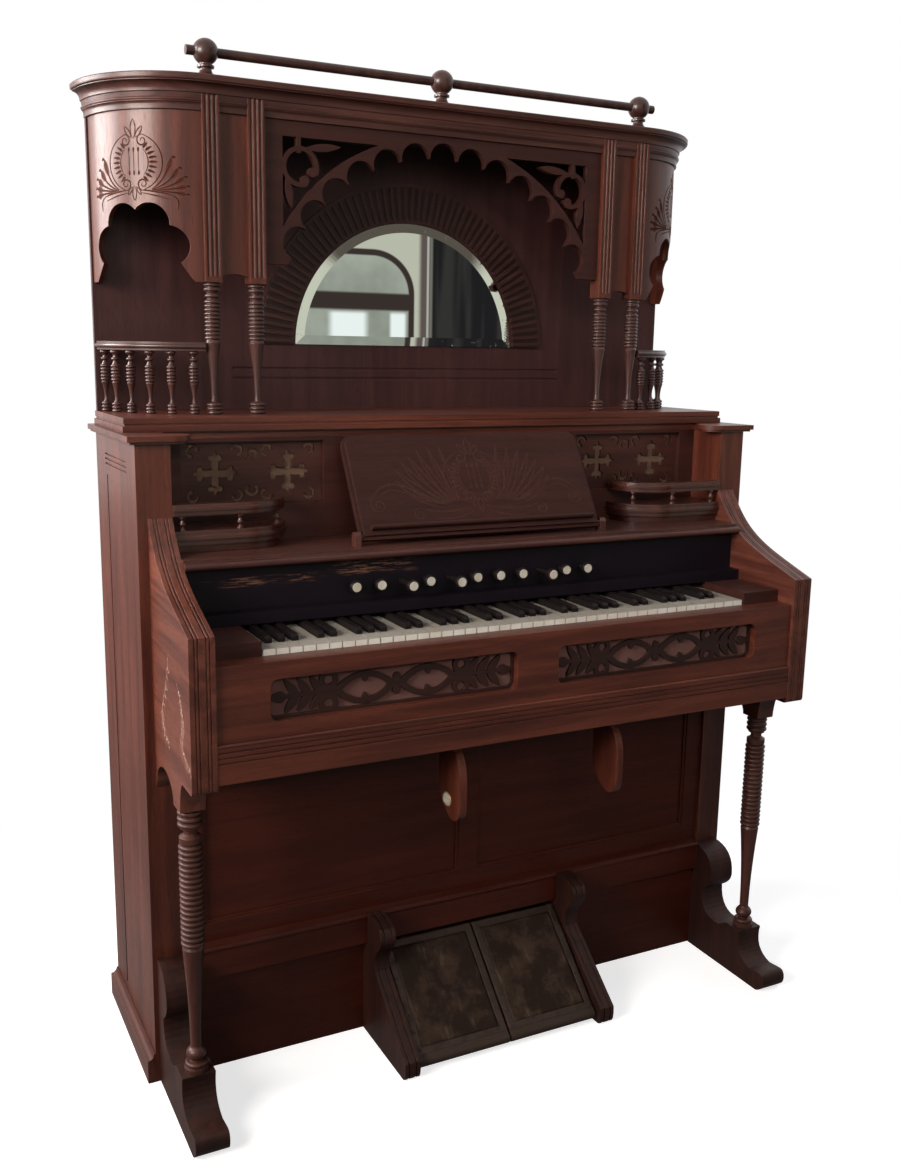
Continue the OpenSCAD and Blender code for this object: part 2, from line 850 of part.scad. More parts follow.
module stop_board() {
    color("#1d1715") difference() {
        block([-x_in, x_in], [y_stop, y_stop + board_t], [bed_top, shelf_bottom]);
        for (i = [0:stop_count - 1])
            translate([stop_at(i), y_stop - cut, stop_z]) rotate([-90, 0, 0])
                cylinder(r = stop_rod_r + pin_gap, h = board_t + 2 * cut);
    }
}

// One stop: a turned knob on a rod with a collar behind the board
module stop_knob(i, drawn) {
    back = board_t + stop_travel + 24;
    collar = 6;
    rod = stop_rod_r;
    out = stop_out;
    color("#2a211e")
        translate([stop_at(i), y_stop - drawn, stop_z]) rotate([90, 0, 0]) rotate_extrude()
            polygon(concat(
                [[0, -back], [rod + 3, -back], [rod + 3, collar - back], [rod, collar - back],
                    [rod, collar], [rod + 2, collar + 2], [rod + 1, collar + 5]],
                curve([stop_r * 0.7, out * 0.5], [stop_r, out * 0.55], [stop_r, out * 0.7], 4),
                [[stop_r, out - 2], [stop_r - 2, out], [0, out]]));
}

module stop_01() {
    stop_knob(0, 0);
}

module stop_02() {
    stop_knob(1, 0);
}

module stop_03() {
    stop_knob(2, stop_travel);
}

module stop_04() {
    stop_knob(3, 0);
}

module stop_05() {
    stop_knob(4, stop_travel);
}

module stop_06() {
    stop_knob(5, 0);
}

module stop_07() {
    stop_knob(6, 0);
}

module stop_08() {
    stop_knob(7, 0);
}

module stop_09() {
    stop_knob(8, stop_travel);
}

module stop_10() {
    stop_knob(9, 0);
}

module stop_11() {
    stop_knob(10, 0);
}

// Shelf with a half-round nosing and the two lugs that carry the desk pins
module shelf() {
    nose = nosing_out * 0.46;
    lug_r = desk_foot;
    color("#63372a") {
        block([-x_in, x_in], [y_shelf, wall_back], [shelf_bottom, shelf_z]);
        across(-x_in, 2 * x_in) {
            translate([y_shelf - nosing_out + nose, shelf_bottom]) square([nosing_out, 2 * nose]);
            translate([y_shelf - nosing_out + nose, shelf_bottom + nose]) circle(nose);
        }
        both() across(desk_half + cut, bracket_t) {
            translate([y_desk, z_desk]) circle(lug_r);
            translate([y_desk - lug_r, shelf_z - cut]) square([2 * lug_r, desk_up + cut]);
        }
        both() translate([desk_half - bracket_t, y_desk, z_desk]) rotate([0, 90, 0])
            cylinder(r = pin_r, h = 2 * bracket_t);
    }
}

// Face of the music desk from its hinge line upwards, rounded at the upper corners
module desk_outline(inset) {
    w = desk_half - inset;
    r = desk_corner - inset;
    low = inset - desk_foot;
    top = desk_l - inset;
    translate([-w, low]) square([2 * w, top - r - low]);
    translate([r - w, low]) square([2 * (w - r), top - low]);
    both() translate([w - r, top - r]) circle(r);
}

// Music desk: a board with a stepped edge, a ledge for the music and a pin hole at each end
module music_desk() {
    step = desk_t * 0.4;
    color("#6d3d2b") difference() {
        translate([0, y_desk, z_desk]) rotate([-desk_lean, 0, 0]) {
            along(step - desk_t / 2, desk_t - step) desk_outline(0);
            along(-desk_t / 2, desk_t / 2) desk_outline(step);
            across(ledge_end - desk_half, desk_w - 2 * ledge_end) {
                translate([-desk_t / 2 - ledge_out, ledge_up]) square([desk_t / 2 + ledge_out, ledge_t]);
                translate([-desk_t / 2 - ledge_out, ledge_up + ledge_t / 2]) circle(ledge_t / 2);
            }
        }
        both() translate([desk_half - bracket_t - cut, y_desk, z_desk]) rotate([0, 90, 0])
            cylinder(r = pin_r + pin_gap, h = 2 * bracket_t);
    }
}

module fret_wall() {
    color("#64382a") difference() {
        block([-x_in, x_in], [y_wall, wall_back], [shelf_z, case_h]);
        both() block([up_fret_x, up_fret_out], [y_wall - cut, wall_back + cut],
            [up_fret_z, up_fret_z + up_fret_h]);
    }
}

// A cross with a three-lobed bud on each arm
module cross_cut(l) {
    bud = l * 0.2;
    circle(bud);
    for (a = [0:90:270]) rotate(a) {
        leaf(l, l * 0.34);
        for (v = [-1, 1]) translate([l * 0.68, v * bud]) circle(bud * 0.72);
    }
}

// A C-shaped scroll, open on its upper right
module scroll_cut(r) {
    difference() {
        circle(r);
        circle(r * 0.5);
        square(r * 1.1);
    }
}

// Wood left standing in one upper fret, drawn from its middle: two pierced crosses among scrolls
module upper_fret_wood(w, h) {
    difference() {
        square([w, h], center = true);
        both() {
            translate([w * 0.255, 0]) {
                cross_cut(h * 0.36);
                for (a = [0:3])
                    rotate(a * 90) translate([h * 0.36, h * 0.36]) rotate(180) scroll_cut(h * 0.105);
            }
            for (v = [0, 180])
                rotate(v) translate([0, h * 0.28]) rotate(225) scroll_cut(h * 0.11);
        }
    }
}

module upper_frets() {
    w = up_fret_out - up_fret_x;
    color("#5a3426") both()
        translate([up_fret_x + w / 2, 0, up_fret_z + up_fret_h / 2])
            along(wall_back - fret_t, fret_t) upper_fret_wood(w, up_fret_h);
}

module upper_cloth() {
    color("#a08a68") both()
        block([up_fret_x - cloth_lap, up_fret_out + cloth_lap], [wall_back, wall_back + cloth_t],
            [up_fret_z - cloth_lap, up_fret_z + up_fret_h + cloth_lap]);
}

// Plan of a lamp shelf: straight by the post, rounded towards the desk
module lamp_plan(inset) {
    d = lamp_d - inset;
    x1 = lamp_x + lamp_d;
    intersection() {
        union() {
            translate([x1, y_wall]) circle(d, $fn = 72);
            translate([x1, y_wall - d]) square([x_in - x1, d]);
        }
        translate([lamp_x, y_wall - lamp_d]) square([x_in - lamp_x, lamp_d]);
    }
}

// Half profile of a lamp shelf spindle
module spindle_profile(h) {
    r = 6;
    polygon([[0, 0], [r * 0.8, 0], [r * 0.5, h * 0.2], [r * 0.8, h * 0.45], [r * 0.5, h * 0.7],
        [r * 0.8, h], [0, h]]);
    for (z = [0.08, 0.45, 0.9])
        translate([r * 0.55, h * z]) circle(r * 0.42);
}

// Lamp shelves: a moulded tray on a foot, and a moulded rail on three spindles
module lamp_shelves() {
    top = lamp_z + lamp_t;
    z_rail = top + lamp_h - lamp_rail;
    edge = 3;
    in = 11;
    x1 = lamp_x + lamp_d;
    color("#68392a") both() {
        upward(shelf_z, lamp_foot) lamp_plan(12);
        upward(lamp_z, lamp_t * 0.35) lamp_plan(edge);
        upward(lamp_z + lamp_t * 0.35, lamp_t * 0.3) lamp_plan(0);
        upward(lamp_z + lamp_t * 0.65, lamp_t * 0.35) lamp_plan(edge);
        for (s = [[0, 0.4, 4], [0.4, 0.75, 2], [0.75, 1, 5]])
            upward(z_rail + s[0] * lamp_rail, (s[1] - s[0]) * lamp_rail) difference() {
                lamp_plan(s[2]);
                lamp_plan(2 * in - 3);
            }
        for (p = [[x1 - (lamp_d - in) * sin(50), y_wall - (lamp_d - in) * cos(50)],
            [x1 + in, y_wall - lamp_d + in], [x_in - 1.6 * in, y_wall - lamp_d + in]])
            translate([p[0], p[1], top]) rotate_extrude() spindle_profile(lamp_h - lamp_rail);
    }
}

// Plan of the case top: a board with a tab over each post
module cap_plan(over) {
    y = y_base + cap_lip;
    tab = 4;
    translate([-x_side - over, y]) square([2 * (x_side + over), y_back - y]);
    both() {
        translate([x_in - tab, y_post - over]) square([post_w + tab + over, y - y_post + over]);
        translate([x_in - tab, y_post + 20]) circle(20 + over);
    }
}

module case_top() {
    low = cap_t * 0.3;
    color("#5d3325") {
        upward(case_h, low) cap_plan(cap_out - 5);
        upward(case_h + low, cap_t - low) cap_plan(cap_out);
    }
}

// Canopy base board with a groove worked along its front and ends
module canopy_base() {
    over = 2;
    color("#633729")
        for (s = [[0, 0.42, over], [0.42, 0.58, -over], [0.58, 1, 0]])
            block([-x_side - s[2], x_side + s[2]], [y_base + over - s[2], y_back],
                [base_z + s[0] * base_t, base_z + s[1] * base_t]);
}

// Canopy back with two reeds worked along it under the mirror
module canopy_back() {
    reed = 6;
    color("#5c3325") difference() {
        block([-x_end - end_r, x_end + end_r], [y_inner, y_back], [can_z, can_top]);
        for (z = [can_z + mirror_z * 0.45, can_z + mirror_z * 0.6])
            block([-pil_x2, pil_x2], [y_inner - cut, y_inner + reed / 2], [z, z + reed]);
    }
}

// Half of a disc, standing on its straight edge
module half_disc(r) {
    intersection() {
        circle(r, $fn = 96);
        translate([-r, 0]) square([2 * r, r]);
    }
}

module mirror_glass() {
    color("#b8c4c6") translate([0, 0, mirror_foot])
        along(y_inner - mirror_t, mirror_t) half_disc(mirror_r);
}

// Fan round the mirror: a half ring with ribs standing on it like rays
module mirror_fan() {
    plate = 5;
    rib_t = 3;
    rib_w = 7;
    rim = 6;
    color("#5a3124") translate([0, 0, mirror_foot]) {
        along(y_inner - plate, plate) difference() {
            half_disc(fan_r);
            circle(mirror_r + cut, $fn = 96);
        }
        along(y_inner - plate - rib_t, rib_t + cut)
            for (i = [0:fan_ribs - 1])
                rotate((i + 0.5) * 180 / fan_ribs)
                    translate([mirror_r + rim, -rib_w / 2]) square([fan_w - 2 * rim, rib_w]);
    }
}

// Scalloped opening of an end panel, drawn flat from the middle of its foot
module end_opening() {
    r = end_r * 0.195;
    both() {
        translate([r * 0.75, r * 2.8]) circle(r);
        translate([r * 1.64, r * 1.72]) circle(r);
    }
    both() polygon([[0, -cut], [r * 2.83, -cut], [r * 2.22, r * 0.92], [r * 1.64, r * 1.72],
        [r * 0.75, r * 2.8], [0, r * 2.8]]);
}

// One quarter-round end panel with a scalloped opening in its lower part
module end_panel() {
    r = end_r - 3;
    turn = 44;
    translate([x_end, y_back, pil_bottom]) difference() {
        intersection() {
            difference() {
                cylinder(r = r, h = can_top - pil_bottom, $fn = 96);
                translate([0, 0, -cut]) cylinder(r = r - end_t, h = canopy_h, $fn = 96);
            }
            translate([pil_w / 2, -end_r, -cut])
                cube([end_r, end_r - back_t, canopy_h]);
        }
        rotate([0, 0, turn]) along(-end_r, end_r) end_opening();
    }
}

module left_end() {
    color("#7a4630") mirror([1, 0, 0]) end_panel();
}

module right_end() {
    color("#7a4630") end_panel();
}

// Fluted pilasters, running up into the cornice
module pilasters() {
    color("#6a3b2b") both() for (x = [pil_x1, pil_x2])
        difference() {
            block([x - pil_w / 2, x + pil_w / 2], [y_pil, y_pil + pil_d], [pil_bottom, pil_top]);
            for (i = [-1:1])
                translate([x + i * pil_w * 0.27, y_pil, pil_bottom + pil_w / 3])
                    cylinder(r = pil_w * 0.09, h = canopy_h, $fn = 24);
        }
}

// Half profile of a slender canopy column
module slim_profile(h) {
    r = pil_w * 0.44;
    core = r * 0.84;
    polygon(concat(
        [[0, 0], [core, 0], [core, h * 0.085], [r * 0.4, h * 0.1]],
        curve([r * 0.36, h * 0.14], [r * 0.4, h * 0.35], [r, h * 0.55]),
        [[core, h * 0.57], [core, h * 0.87], [r * 0.7, h * 0.88], [r * 0.7, h * 0.92],
            [core, h * 0.93], [core, h], [0, h]]));
    ring_row(core, 0, h * 0.09, 3);
    ring_row(core, h * 0.57, h * 0.87, 10);
    translate([r * 0.7, h * 0.9]) circle(h * 0.016);
    ring_row(core, h * 0.93, h, 2);
}

module canopy_columns() {
    color("#5d3324") both() for (x = [pil_x1, pil_x2])
        translate([x, pil_mid, can_z]) rotate_extrude() slim_profile(pil_z);
}

// Half profile of a small baluster
module baluster_profile(h) {
    r = gal_rail * 0.5;
    core = r * 0.8;
    polygon(concat(
        [[0, 0], [core, 0], [core, h * 0.15], [r * 0.45, h * 0.19]],
        curve([r * 0.4, h * 0.24], [r * 0.45, h * 0.38], [r, h * 0.48]),
        [[core, h * 0.5], [core, h * 0.77], [r * 0.5, h * 0.82], [r * 0.6, h * 0.86],
            [r * 0.5, h * 0.91], [core, h * 0.95], [core, h], [0, h]]));
    ring_row(core, 0, h * 0.16, 3);
    ring_row(core, h * 0.5, h * 0.77, 5);
    translate([r * 0.6, h * 0.86]) circle(r * 0.35);
    ring_row(core, h * 0.94, h, 1);
}

// Curved baluster galleries between the outer columns and the canopy back
module galleries() {
    r = end_r - 12;
    half = 10;
    first = 12;
    span = 68;
    color("#643829") both() translate([x_end, y_back, can_z]) {
        translate([0, 0, gal_h - gal_rail]) intersection() {
            rotate_extrude($fn = 96) {
                translate([r - half, 0]) square([2 * half, gal_rail]);
                translate([r + half - 1, gal_rail / 2]) circle(gal_rail * 0.28);
            }
            translate([pil_w / 2, -2 * end_r, 0]) cube([2 * end_r, 2 * end_r - back_t, gal_rail]);
        }
        for (i = [0:gal_count - 1]) {
            a = first + i * span / (gal_count - 1);
            translate([r * sin(a), -r * cos(a), 0]) rotate_extrude()
                baluster_profile(gal_h - gal_rail);
        }
    }
}

// One corner scroll of the arch panel: an open ring with curled ends and two leaves
module corner_scroll(r) {
    strap = r * 0.24;
    difference() {
        circle(r);
        circle(r - strap);
        rotate(225) polygon([[0, 0], [2 * r, -0.8 * r], [2 * r, 0.8 * r]]);
    }
    for (v = [-1, 1])
        rotate(225 + v * 26) translate([r - strap * 1.3, 0]) circle(strap);
    translate([r * 0.62, -r * 1.25]) rotate(80) lens(r * 1.6, r * 0.4);
    translate([-r * 1.2, r]) rotate(-6) lens(r * 2, r * 0.4);
    translate([r * 0.1, r * 1.15]) square([strap, r], center = true);
}

// Scalloped arch with a pierced scroll in each upper corner
module arch_panel() {
    low = pil_bottom + 38;
    turn = 130 / scallops;
    rim = scallop_r * 1.33;
    x1 = x_arch - corner_w;
    z1 = can_top - corner_w * 0.76;
    r = corner_w;
    color("#6a3c2b") along(pil_mid - arch_t / 2, arch_t) {
        difference() {
            translate([-x_arch, low]) square([2 * x_arch, can_top - low]);
            translate([0, arch_z]) {
                circle(arch_r, $fn = 96);
                for (i = [0:scallops - 1])
                    rotate((i - (scallops - 1) / 2) * turn)
                        translate([0, arch_r]) circle(scallop_r, $fn = 32);
            }
            both() difference() {
                translate([0, arch_z]) square([x1, z1 - arch_z]);
                translate([0, arch_z]) circle(arch_r + rim, $fn = 96);
            }
        }
        both() translate([x1 - r * 0.95, z1 - r * 1.4]) corner_scroll(r);
    }
}

// Narrow panels between the pilasters of each pair, arched at the foot
module bay_panels() {
    x0 = pil_x2 + pil_w / 2;
    w = bay_w - pil_w;
    t = 12;
    color("#623527") both() along(pil_mid - t / 2, t) difference() {
        translate([x0, pil_bottom + 2]) square([w, can_top - pil_bottom - 2]);
        translate([x0 + w / 2, pil_bottom - w]) circle(w * 1.32, $fn = 72);
    }
}

// Cornice section from the middle of a canopy end outwards: bead, cove and square nose
module cornice_profile() {
    r = end_r;
    h = cornice_h;
    o = cornice_out;
    polygon(concat(
        [[0, 0], [r + o * 0.06, 0], [r + o * 0.06, h * 0.08]],
        curve([r + o * 0.06, h * 0.1], [r + o * 0.06, h * 0.2], [r + o * 0.2, h * 0.22], 4),
        curve([r + o * 0.2, h * 0.24], [r + o * 0.34, h * 0.29], [r + o * 0.2, h * 0.34], 4),
        [[r + o * 0.16, h * 0.35], [r + o * 0.22, h * 0.48], [r + o * 0.3, h * 0.5]],
        curve([r + o * 0.3, h * 0.53], [r + o * 0.34, h * 0.74], [r + o * 0.86, h * 0.77]),
        curve([r + o * 0.86, h * 0.8], [r + o, h * 0.8], [r + o, h * 0.86], 3),
        [[r + o, h * 0.97], [r + o * 0.93, h], [0, h]]));
}

// Cornice along the front and round both ends, let in round the pilasters
module cornice() {
    reach = end_r + cornice_out + cut;
    color("#5b3225") translate([0, 0, can_top]) difference() {
        union() {
            both() intersection() {
                translate([x_end, y_back, 0]) rotate_extrude($fn = 96) cornice_profile();
                block([x_end, x_end + reach], [y_back - reach, y_back], [-cut, cornice_h + cut]);
            }
            across(-x_end, 2 * x_end)
                translate([y_back, 0]) mirror([1, 0, 0]) cornice_profile();
        }
        both() for (x = [pil_x1, pil_x2])
            block([x - pil_w / 2, x + pil_w / 2], [y_pil - cornice_out, y_pil + pil_d], [-cut, pil_up]);
    }
}

// Half profile of a rail post with its ball
module post_profile() {
    r = ball_r;
    z = rod_z;
    polygon(concat(
        [[0, 0], [r * 0.87, 0], [r * 0.87, z * 0.09]],
        curve([r * 0.78, z * 0.11], [r * 0.45, z * 0.2], [r * 0.45, z * 0.38], 4),
        [[r * 0.66, z * 0.4], [r * 0.66, z * 0.48], [r * 0.5, z * 0.52], [r * 0.5, z], [0, z]]));
    intersection() {
        translate([0, z]) circle(r);
        translate([0, z - r]) square([r, 2 * r]);
    }
}

module gallery_posts() {
    color("#6a3a2b") for (x = [-pil_x1, 0, pil_x1])
        translate([x, rod_y, cornice_top]) difference() {
            rotate_extrude() post_profile();
            translate([-ball_r - cut, 0, rod_z]) rotate([0, 90, 0])
                cylinder(r = rod_r, h = 2 * ball_r + 2 * cut);
        }
}

module gallery_rod() {
    color("#5f3426") translate([-pil_x1 - rod_over, rod_y, rod_height]) rotate([0, 90, 0])
        cylinder(r = rod_r, h = 2 * (pil_x1 + rod_over));
}

// Side outline of a treadle cheek: scroll head, then a slope down to the toe
module cheek_outline(inset) {
    y = y_post;
    a = cheek_out - inset;
    h = cheek_h - inset;
    toe = 36;
    polygon(concat(
        [[y_kick, 0], [y_kick, h * 0.97]],
        curve([y, h * 0.97], [y - a * 0.2, h * 1.03], [y - a * 0.38, h * 0.955]),
        curve([y - a * 0.38, h * 0.955], [y - a * 0.47, h * 0.88], [y - a * 0.36, h * 0.79], 6),
        curve([y - a * 0.36, h * 0.79], [y - a * 0.24, h * 0.7], [y - a * 0.28, h * 0.58], 6),
        curve([y - a, toe], [y - a - toe * 0.1, 0], [y - a * 0.95, 0], 4)));
}

// Treadle cheeks with a bead between two grooves along their edges, and the hinge rod
module treadle_frame() {
    groove = 3;
    color("#5c3123") difference() {
        union() {
            both() {
                across(cheek_in, cheek_t) cheek_outline(groove);
                for (s = [[0, 0.22], [0.32, 0.68], [0.78, 1]])
                    across(cheek_in + s[0] * cheek_t, (s[1] - s[0]) * cheek_t) cheek_outline(0);
            }
            translate([-cheek_in - cut, y_hinge, hinge_z]) rotate([0, 90, 0])
                cylinder(r = pin_r, h = 2 * (cheek_in + cut));
        }
        both() block([cheek_in - cut, cheek_x + cut], [y_rail - rail_bead - cut, y_kick + cut],
            [rail_z - 2, cheek_h + rail_bead]);
    }
}

// One treadle board with its hinge barrel and a recess for the covering, from x0 to x1
module treadle(x0, x1) {
    recess = 2;
    rim = treadle_rim;
    color("#57483a") translate([0, y_hinge, hinge_z]) difference() {
        rotate([treadle_tilt, 0, 0]) difference() {
            union() {
                block([x0, x1], [0, treadle_l], [barrel_r - treadle_t, barrel_r]);
                translate([x0, 0, 0]) rotate([0, 90, 0]) cylinder(r = barrel_r, h = x1 - x0);
            }
            block([x0 + rim, x1 - rim], [barrel_r + rim, treadle_l - rim],
                [barrel_r - recess, barrel_r + cut]);
        }
        translate([x0 - cut, 0, 0]) rotate([0, 90, 0])
            cylinder(r = pin_r + pin_gap, h = x1 - x0 + 2 * cut);
    }
}

module left_treadle() {
    treadle(treadle_gap - cheek_in, -treadle_gap / 2);
}

module right_treadle() {
    treadle(treadle_gap / 2, cheek_in - treadle_gap);
}

// Side outline of a knee lever, hanging from its pin
module knee_outline() {
    y0 = knee_back - knee_d;
    y1 = knee_back - hub_gap;
    z = knee_z;
    l = knee_l;
    polygon(concat(
        [[y1, knee_pin_z]],
        curve([y1, z + l * 0.38], [y1 - 4, z + l * 0.12], [y0 + knee_d * 0.4, z]),
        curve([y0 + knee_d * 0.28, z], [y0, z + l * 0.03], [y0, z + l * 0.23]),
        curve([y0, z + l * 0.47], [y0 + 2, z + l * 0.77], [knee_y + hub_gap, z + l * 0.85]),
        [[knee_y + hub_gap, knee_pin_z]]));
}

module knee_lever(x) {
    color("#643828") difference() {
        union() {
            across(x - knee_t / 2, knee_t) knee_outline();
            translate([x, knee_y + hub_gap, knee_pin_z]) rotate([-90, 0, 0])
                cylinder(r = knee_hub_r, h = knee_hub - 2 * hub_gap);
        }
        translate([x, knee_y - cut, knee_pin_z]) rotate([-90, 0, 0])
            cylinder(r = pin_r + pin_gap, h = knee_hub + 2 * cut);
    }
}

module left_knee_lever() {
    knee_lever(-knee_x1);
}

module right_knee_lever() {
    knee_lever(knee_x2);
}

left_side();
right_side();
case_back();
case_floor();
plinth();
lower_frame();
lower_panels();
base_rail();
kick_board();
feet();
front_columns();
left_arm();
right_arm();
key_bed();
key_slip();
slip_frets();
slip_cloth();
key_blocks();
white_keys();
black_keys();
name_strip();
stop_board();
stop_01();
stop_02();
stop_03();
stop_04();
stop_05();
stop_06();
stop_07();
stop_08();
stop_09();
stop_10();
stop_11();
shelf();
music_desk();
fret_wall();
upper_frets();
upper_cloth();
lamp_shelves();
case_top();
canopy_base();
canopy_back();
mirror_glass();
mirror_fan();
left_end();
right_end();
pilasters();
canopy_columns();
galleries();
arch_panel();
bay_panels();
cornice();
gallery_posts();
gallery_rod();
treadle_frame();
left_treadle();
right_treadle();
left_knee_lever();
right_knee_lever();
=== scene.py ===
# %% [markdown]
# # Dressing a parlour reed organ
#
# The solids of the organ come from CAD and stay where they are. This lesson gives them their finishes,
# and adds what solids can't show: woven cloth, a bevelled mirror, ivory faces, worn lino and the fine
# lines that a carver cut into the wood. The first step loads the solids, and a helper gives the box of any
# one of them.

# %% Load the imported model
import json
import math

import bpy
from mathutils import Matrix, Vector


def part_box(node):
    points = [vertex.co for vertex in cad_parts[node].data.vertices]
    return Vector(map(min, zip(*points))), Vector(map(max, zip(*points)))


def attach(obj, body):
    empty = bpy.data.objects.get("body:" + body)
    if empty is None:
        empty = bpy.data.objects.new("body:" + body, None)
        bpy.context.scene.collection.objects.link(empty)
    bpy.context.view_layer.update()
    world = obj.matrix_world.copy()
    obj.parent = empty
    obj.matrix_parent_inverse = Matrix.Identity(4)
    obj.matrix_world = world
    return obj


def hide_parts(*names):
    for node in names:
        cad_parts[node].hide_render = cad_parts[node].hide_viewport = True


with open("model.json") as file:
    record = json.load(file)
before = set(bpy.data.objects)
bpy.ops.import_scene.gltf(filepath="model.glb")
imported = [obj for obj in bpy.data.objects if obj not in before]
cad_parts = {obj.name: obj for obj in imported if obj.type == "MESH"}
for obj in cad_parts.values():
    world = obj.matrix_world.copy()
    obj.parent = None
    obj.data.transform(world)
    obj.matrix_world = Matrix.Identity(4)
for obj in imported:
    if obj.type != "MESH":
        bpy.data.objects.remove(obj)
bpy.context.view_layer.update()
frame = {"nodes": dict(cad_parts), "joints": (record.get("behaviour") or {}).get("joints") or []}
solids = frame["nodes"]
scene = bpy.context.scene
scene.view_settings.view_transform = "Standard"

# %% [markdown]
# ## The camera
#
# The picture was taken from the left of the organ and a little above the keys. The lens, place and turn
# below were found by matching corners of the case with their places in it. Angles are easier to correct
# by small steps than a matrix is, so the matrix is worked out from them.

# %% Set up the camera
STAND = Vector((-1.07326, -2.01957, 1.35758))
YAW = 0.4664
PITCH = 0.1934
ROLL = 0.0156
FOCAL_LENGTH = 35.45
SHIFT_X = 0.0092
SHIFT_Y = -0.0081

ahead = Vector((math.sin(YAW) * math.cos(PITCH), math.cos(YAW) * math.cos(PITCH), -math.sin(PITCH)))
level = Vector((math.cos(YAW), -math.sin(YAW), 0))
upright = level.cross(ahead)
right = math.cos(ROLL) * level + math.sin(ROLL) * upright
top = math.cos(ROLL) * upright - math.sin(ROLL) * level

lens = bpy.data.cameras.new("camera")
lens.lens = FOCAL_LENGTH
lens.shift_x = SHIFT_X
lens.shift_y = SHIFT_Y
camera = bpy.data.objects.new("camera", lens)
camera.matrix_world = Matrix.Translation(STAND) @ Matrix((right, top, -ahead)).transposed().to_4x4()
scene.collection.objects.link(camera)
scene.camera = camera
print("camera looks along", tuple(round(v, 3) for v in ahead))

# %% [markdown]
# ## A bench for shader nodes
#
# Finishes are easier to read as sums than as boxes and links. A Wire holds one output of a node, and
# arithmetic on wires adds Math nodes.

# %% Wires
class Wire:
    """One output of a shader node, for use in sums."""

    def __init__(self, bench, socket):
        self.bench = bench
        self.socket = socket

    def __add__(self, other):
        return self.bench.maths("ADD", self, other)

    def __sub__(self, other):
        return self.bench.maths("SUBTRACT", self, other)

    def __mul__(self, other):
        return self.bench.maths("MULTIPLY", self, other)

    def __truediv__(self, other):
        return self.bench.maths("DIVIDE", self, other)

    def __rsub__(self, other):
        return self.bench.maths("SUBTRACT", other, self)

    def __rtruediv__(self, other):
        return self.bench.maths("DIVIDE", other, self)

    __radd__ = __add__
    __rmul__ = __mul__


print("wires ready")

# %% [markdown]
# The Bench adds every other kind of node with one method, which sets the node's own choices first and
# then its sockets. The shorter methods after it are the moves that finishes repeat: take one part of a
# place, step smoothly from 0 to 1, mix two colours, cast a cloud of noise, round an edge, raise a relief.

# %% The bench
class Bench:
    """The node tree of one finish."""

    def __init__(self, tree):
        tree.nodes.clear()
        self.tree = tree

    def node(self, kind, sockets, out=0, **choices):
        made = self.tree.nodes.new("ShaderNode" + kind)
        for name, value in choices.items():
            setattr(made, name, value)
        for name, value in sockets.items():
            if isinstance(value, Wire):
                self.tree.links.new(value.socket, made.inputs[name])
            else:
                made.inputs[name].default_value = value
        return Wire(self, made.outputs[out]) if made.outputs else None

    def maths(self, operation, first, second=0):
        return self.node("Math", {0: first, 1: second}, operation=operation)

    def place(self):
        return self.node("TexCoord", {}, out="Object")

    def part(self, vector, axis):
        return self.node("SeparateXYZ", {0: vector}, out=axis)

    def step(self, wire, low, high):
        return self.node("MapRange", {0: wire, 1: low, 2: high}, interpolation_type="SMOOTHSTEP")

    def band(self, wire, start, end, soft):
        return self.step(wire, start - soft, start + soft) * (1 - self.step(wire, end - soft, end + soft))

    def distance(self, first, second):
        return self.maths("SQRT", first * first + second * second)

    def mix(self, share, under, over):
        """A colour between two, which are wires or plain (red, green, blue)."""
        under, over = (c if isinstance(c, Wire) else (*c, 1) for c in (under, over))
        return self.node("Mix", {0: share, 6: under, 7: over}, out=2, data_type="RGBA")

    def stretch(self, place, sizes):
        return self.node("VectorMath", {0: place, 1: sizes}, operation="MULTIPLY")

    def noise(self, place, scale, detail=3.0, rough=0.55, bend=0.0):
        return self.node("TexNoise", {"Vector": place, "Scale": scale, "Detail": detail,
                                      "Roughness": rough, "Distortion": bend})

    def rounded(self, radius):
        return self.node("Bevel", {"Radius": radius}, samples=4)

    def true_face(self):
        return self.node("NewGeometry", {}, out="Normal")

    def turn(self, rounded, face):
        """How far a rounded edge leaves the true face: 0 on the flat."""
        return 1 - self.node("VectorMath", {0: rounded, 1: face}, out="Value", operation="DOT_PRODUCT")

    def relief(self, strength, distance, height, **normal):
        sockets = {"Strength": strength, "Distance": distance, "Height": height}
        return self.node("Bump", {**sockets, **normal})

    def surface(self, sockets):
        self.node("OutputMaterial", {"Surface": self.node("BsdfPrincipled", sockets)})


def new_finish(name):
    finish = bpy.data.materials.new(name)
    finish.use_nodes = True
    return finish, Bench(finish.node_tree)


def tinted(colour, shares):
    return tuple(part * share for part, share in zip(colour, shares))


print("bench ready")

# %% [markdown]
# ## Floor and white room
#
# The picture has a white ground. The camera and the reflections see the world as pure white, while the
# organ is lit by a dimmer grey room, so that the dark varnish keeps its depth. The floor glows towards the
# camera, fully white some way off and a little less under the organ, where it takes the shadow. In
# reflections it shows only faintly and is otherwise a dark carpet, because a white floor would bleach the
# varnish. Inside the case and under the treadles it doesn't glow but takes the carpet colour, a painted
# shade, because a closed case is dark inside.

# %% Floor
FLOOR_HALF = 9.0
GLOW_NEAR = 0.7
GLOW_FAR = 1.0
FADE_FROM = 0.7
FADE_TO = 1.5
FLOOR_IN_SHINE = 0.2
CARPET_AND_SHADE = (0.05, 0.034, 0.028, 1)
WHITE = (1, 1, 1, 1)
COVERED = [((-0.6, 0.6), (-0.03, 0.27)), ((-0.2, 0.2), (-0.21, 0.0))]
SHADE_EDGE = 0.01


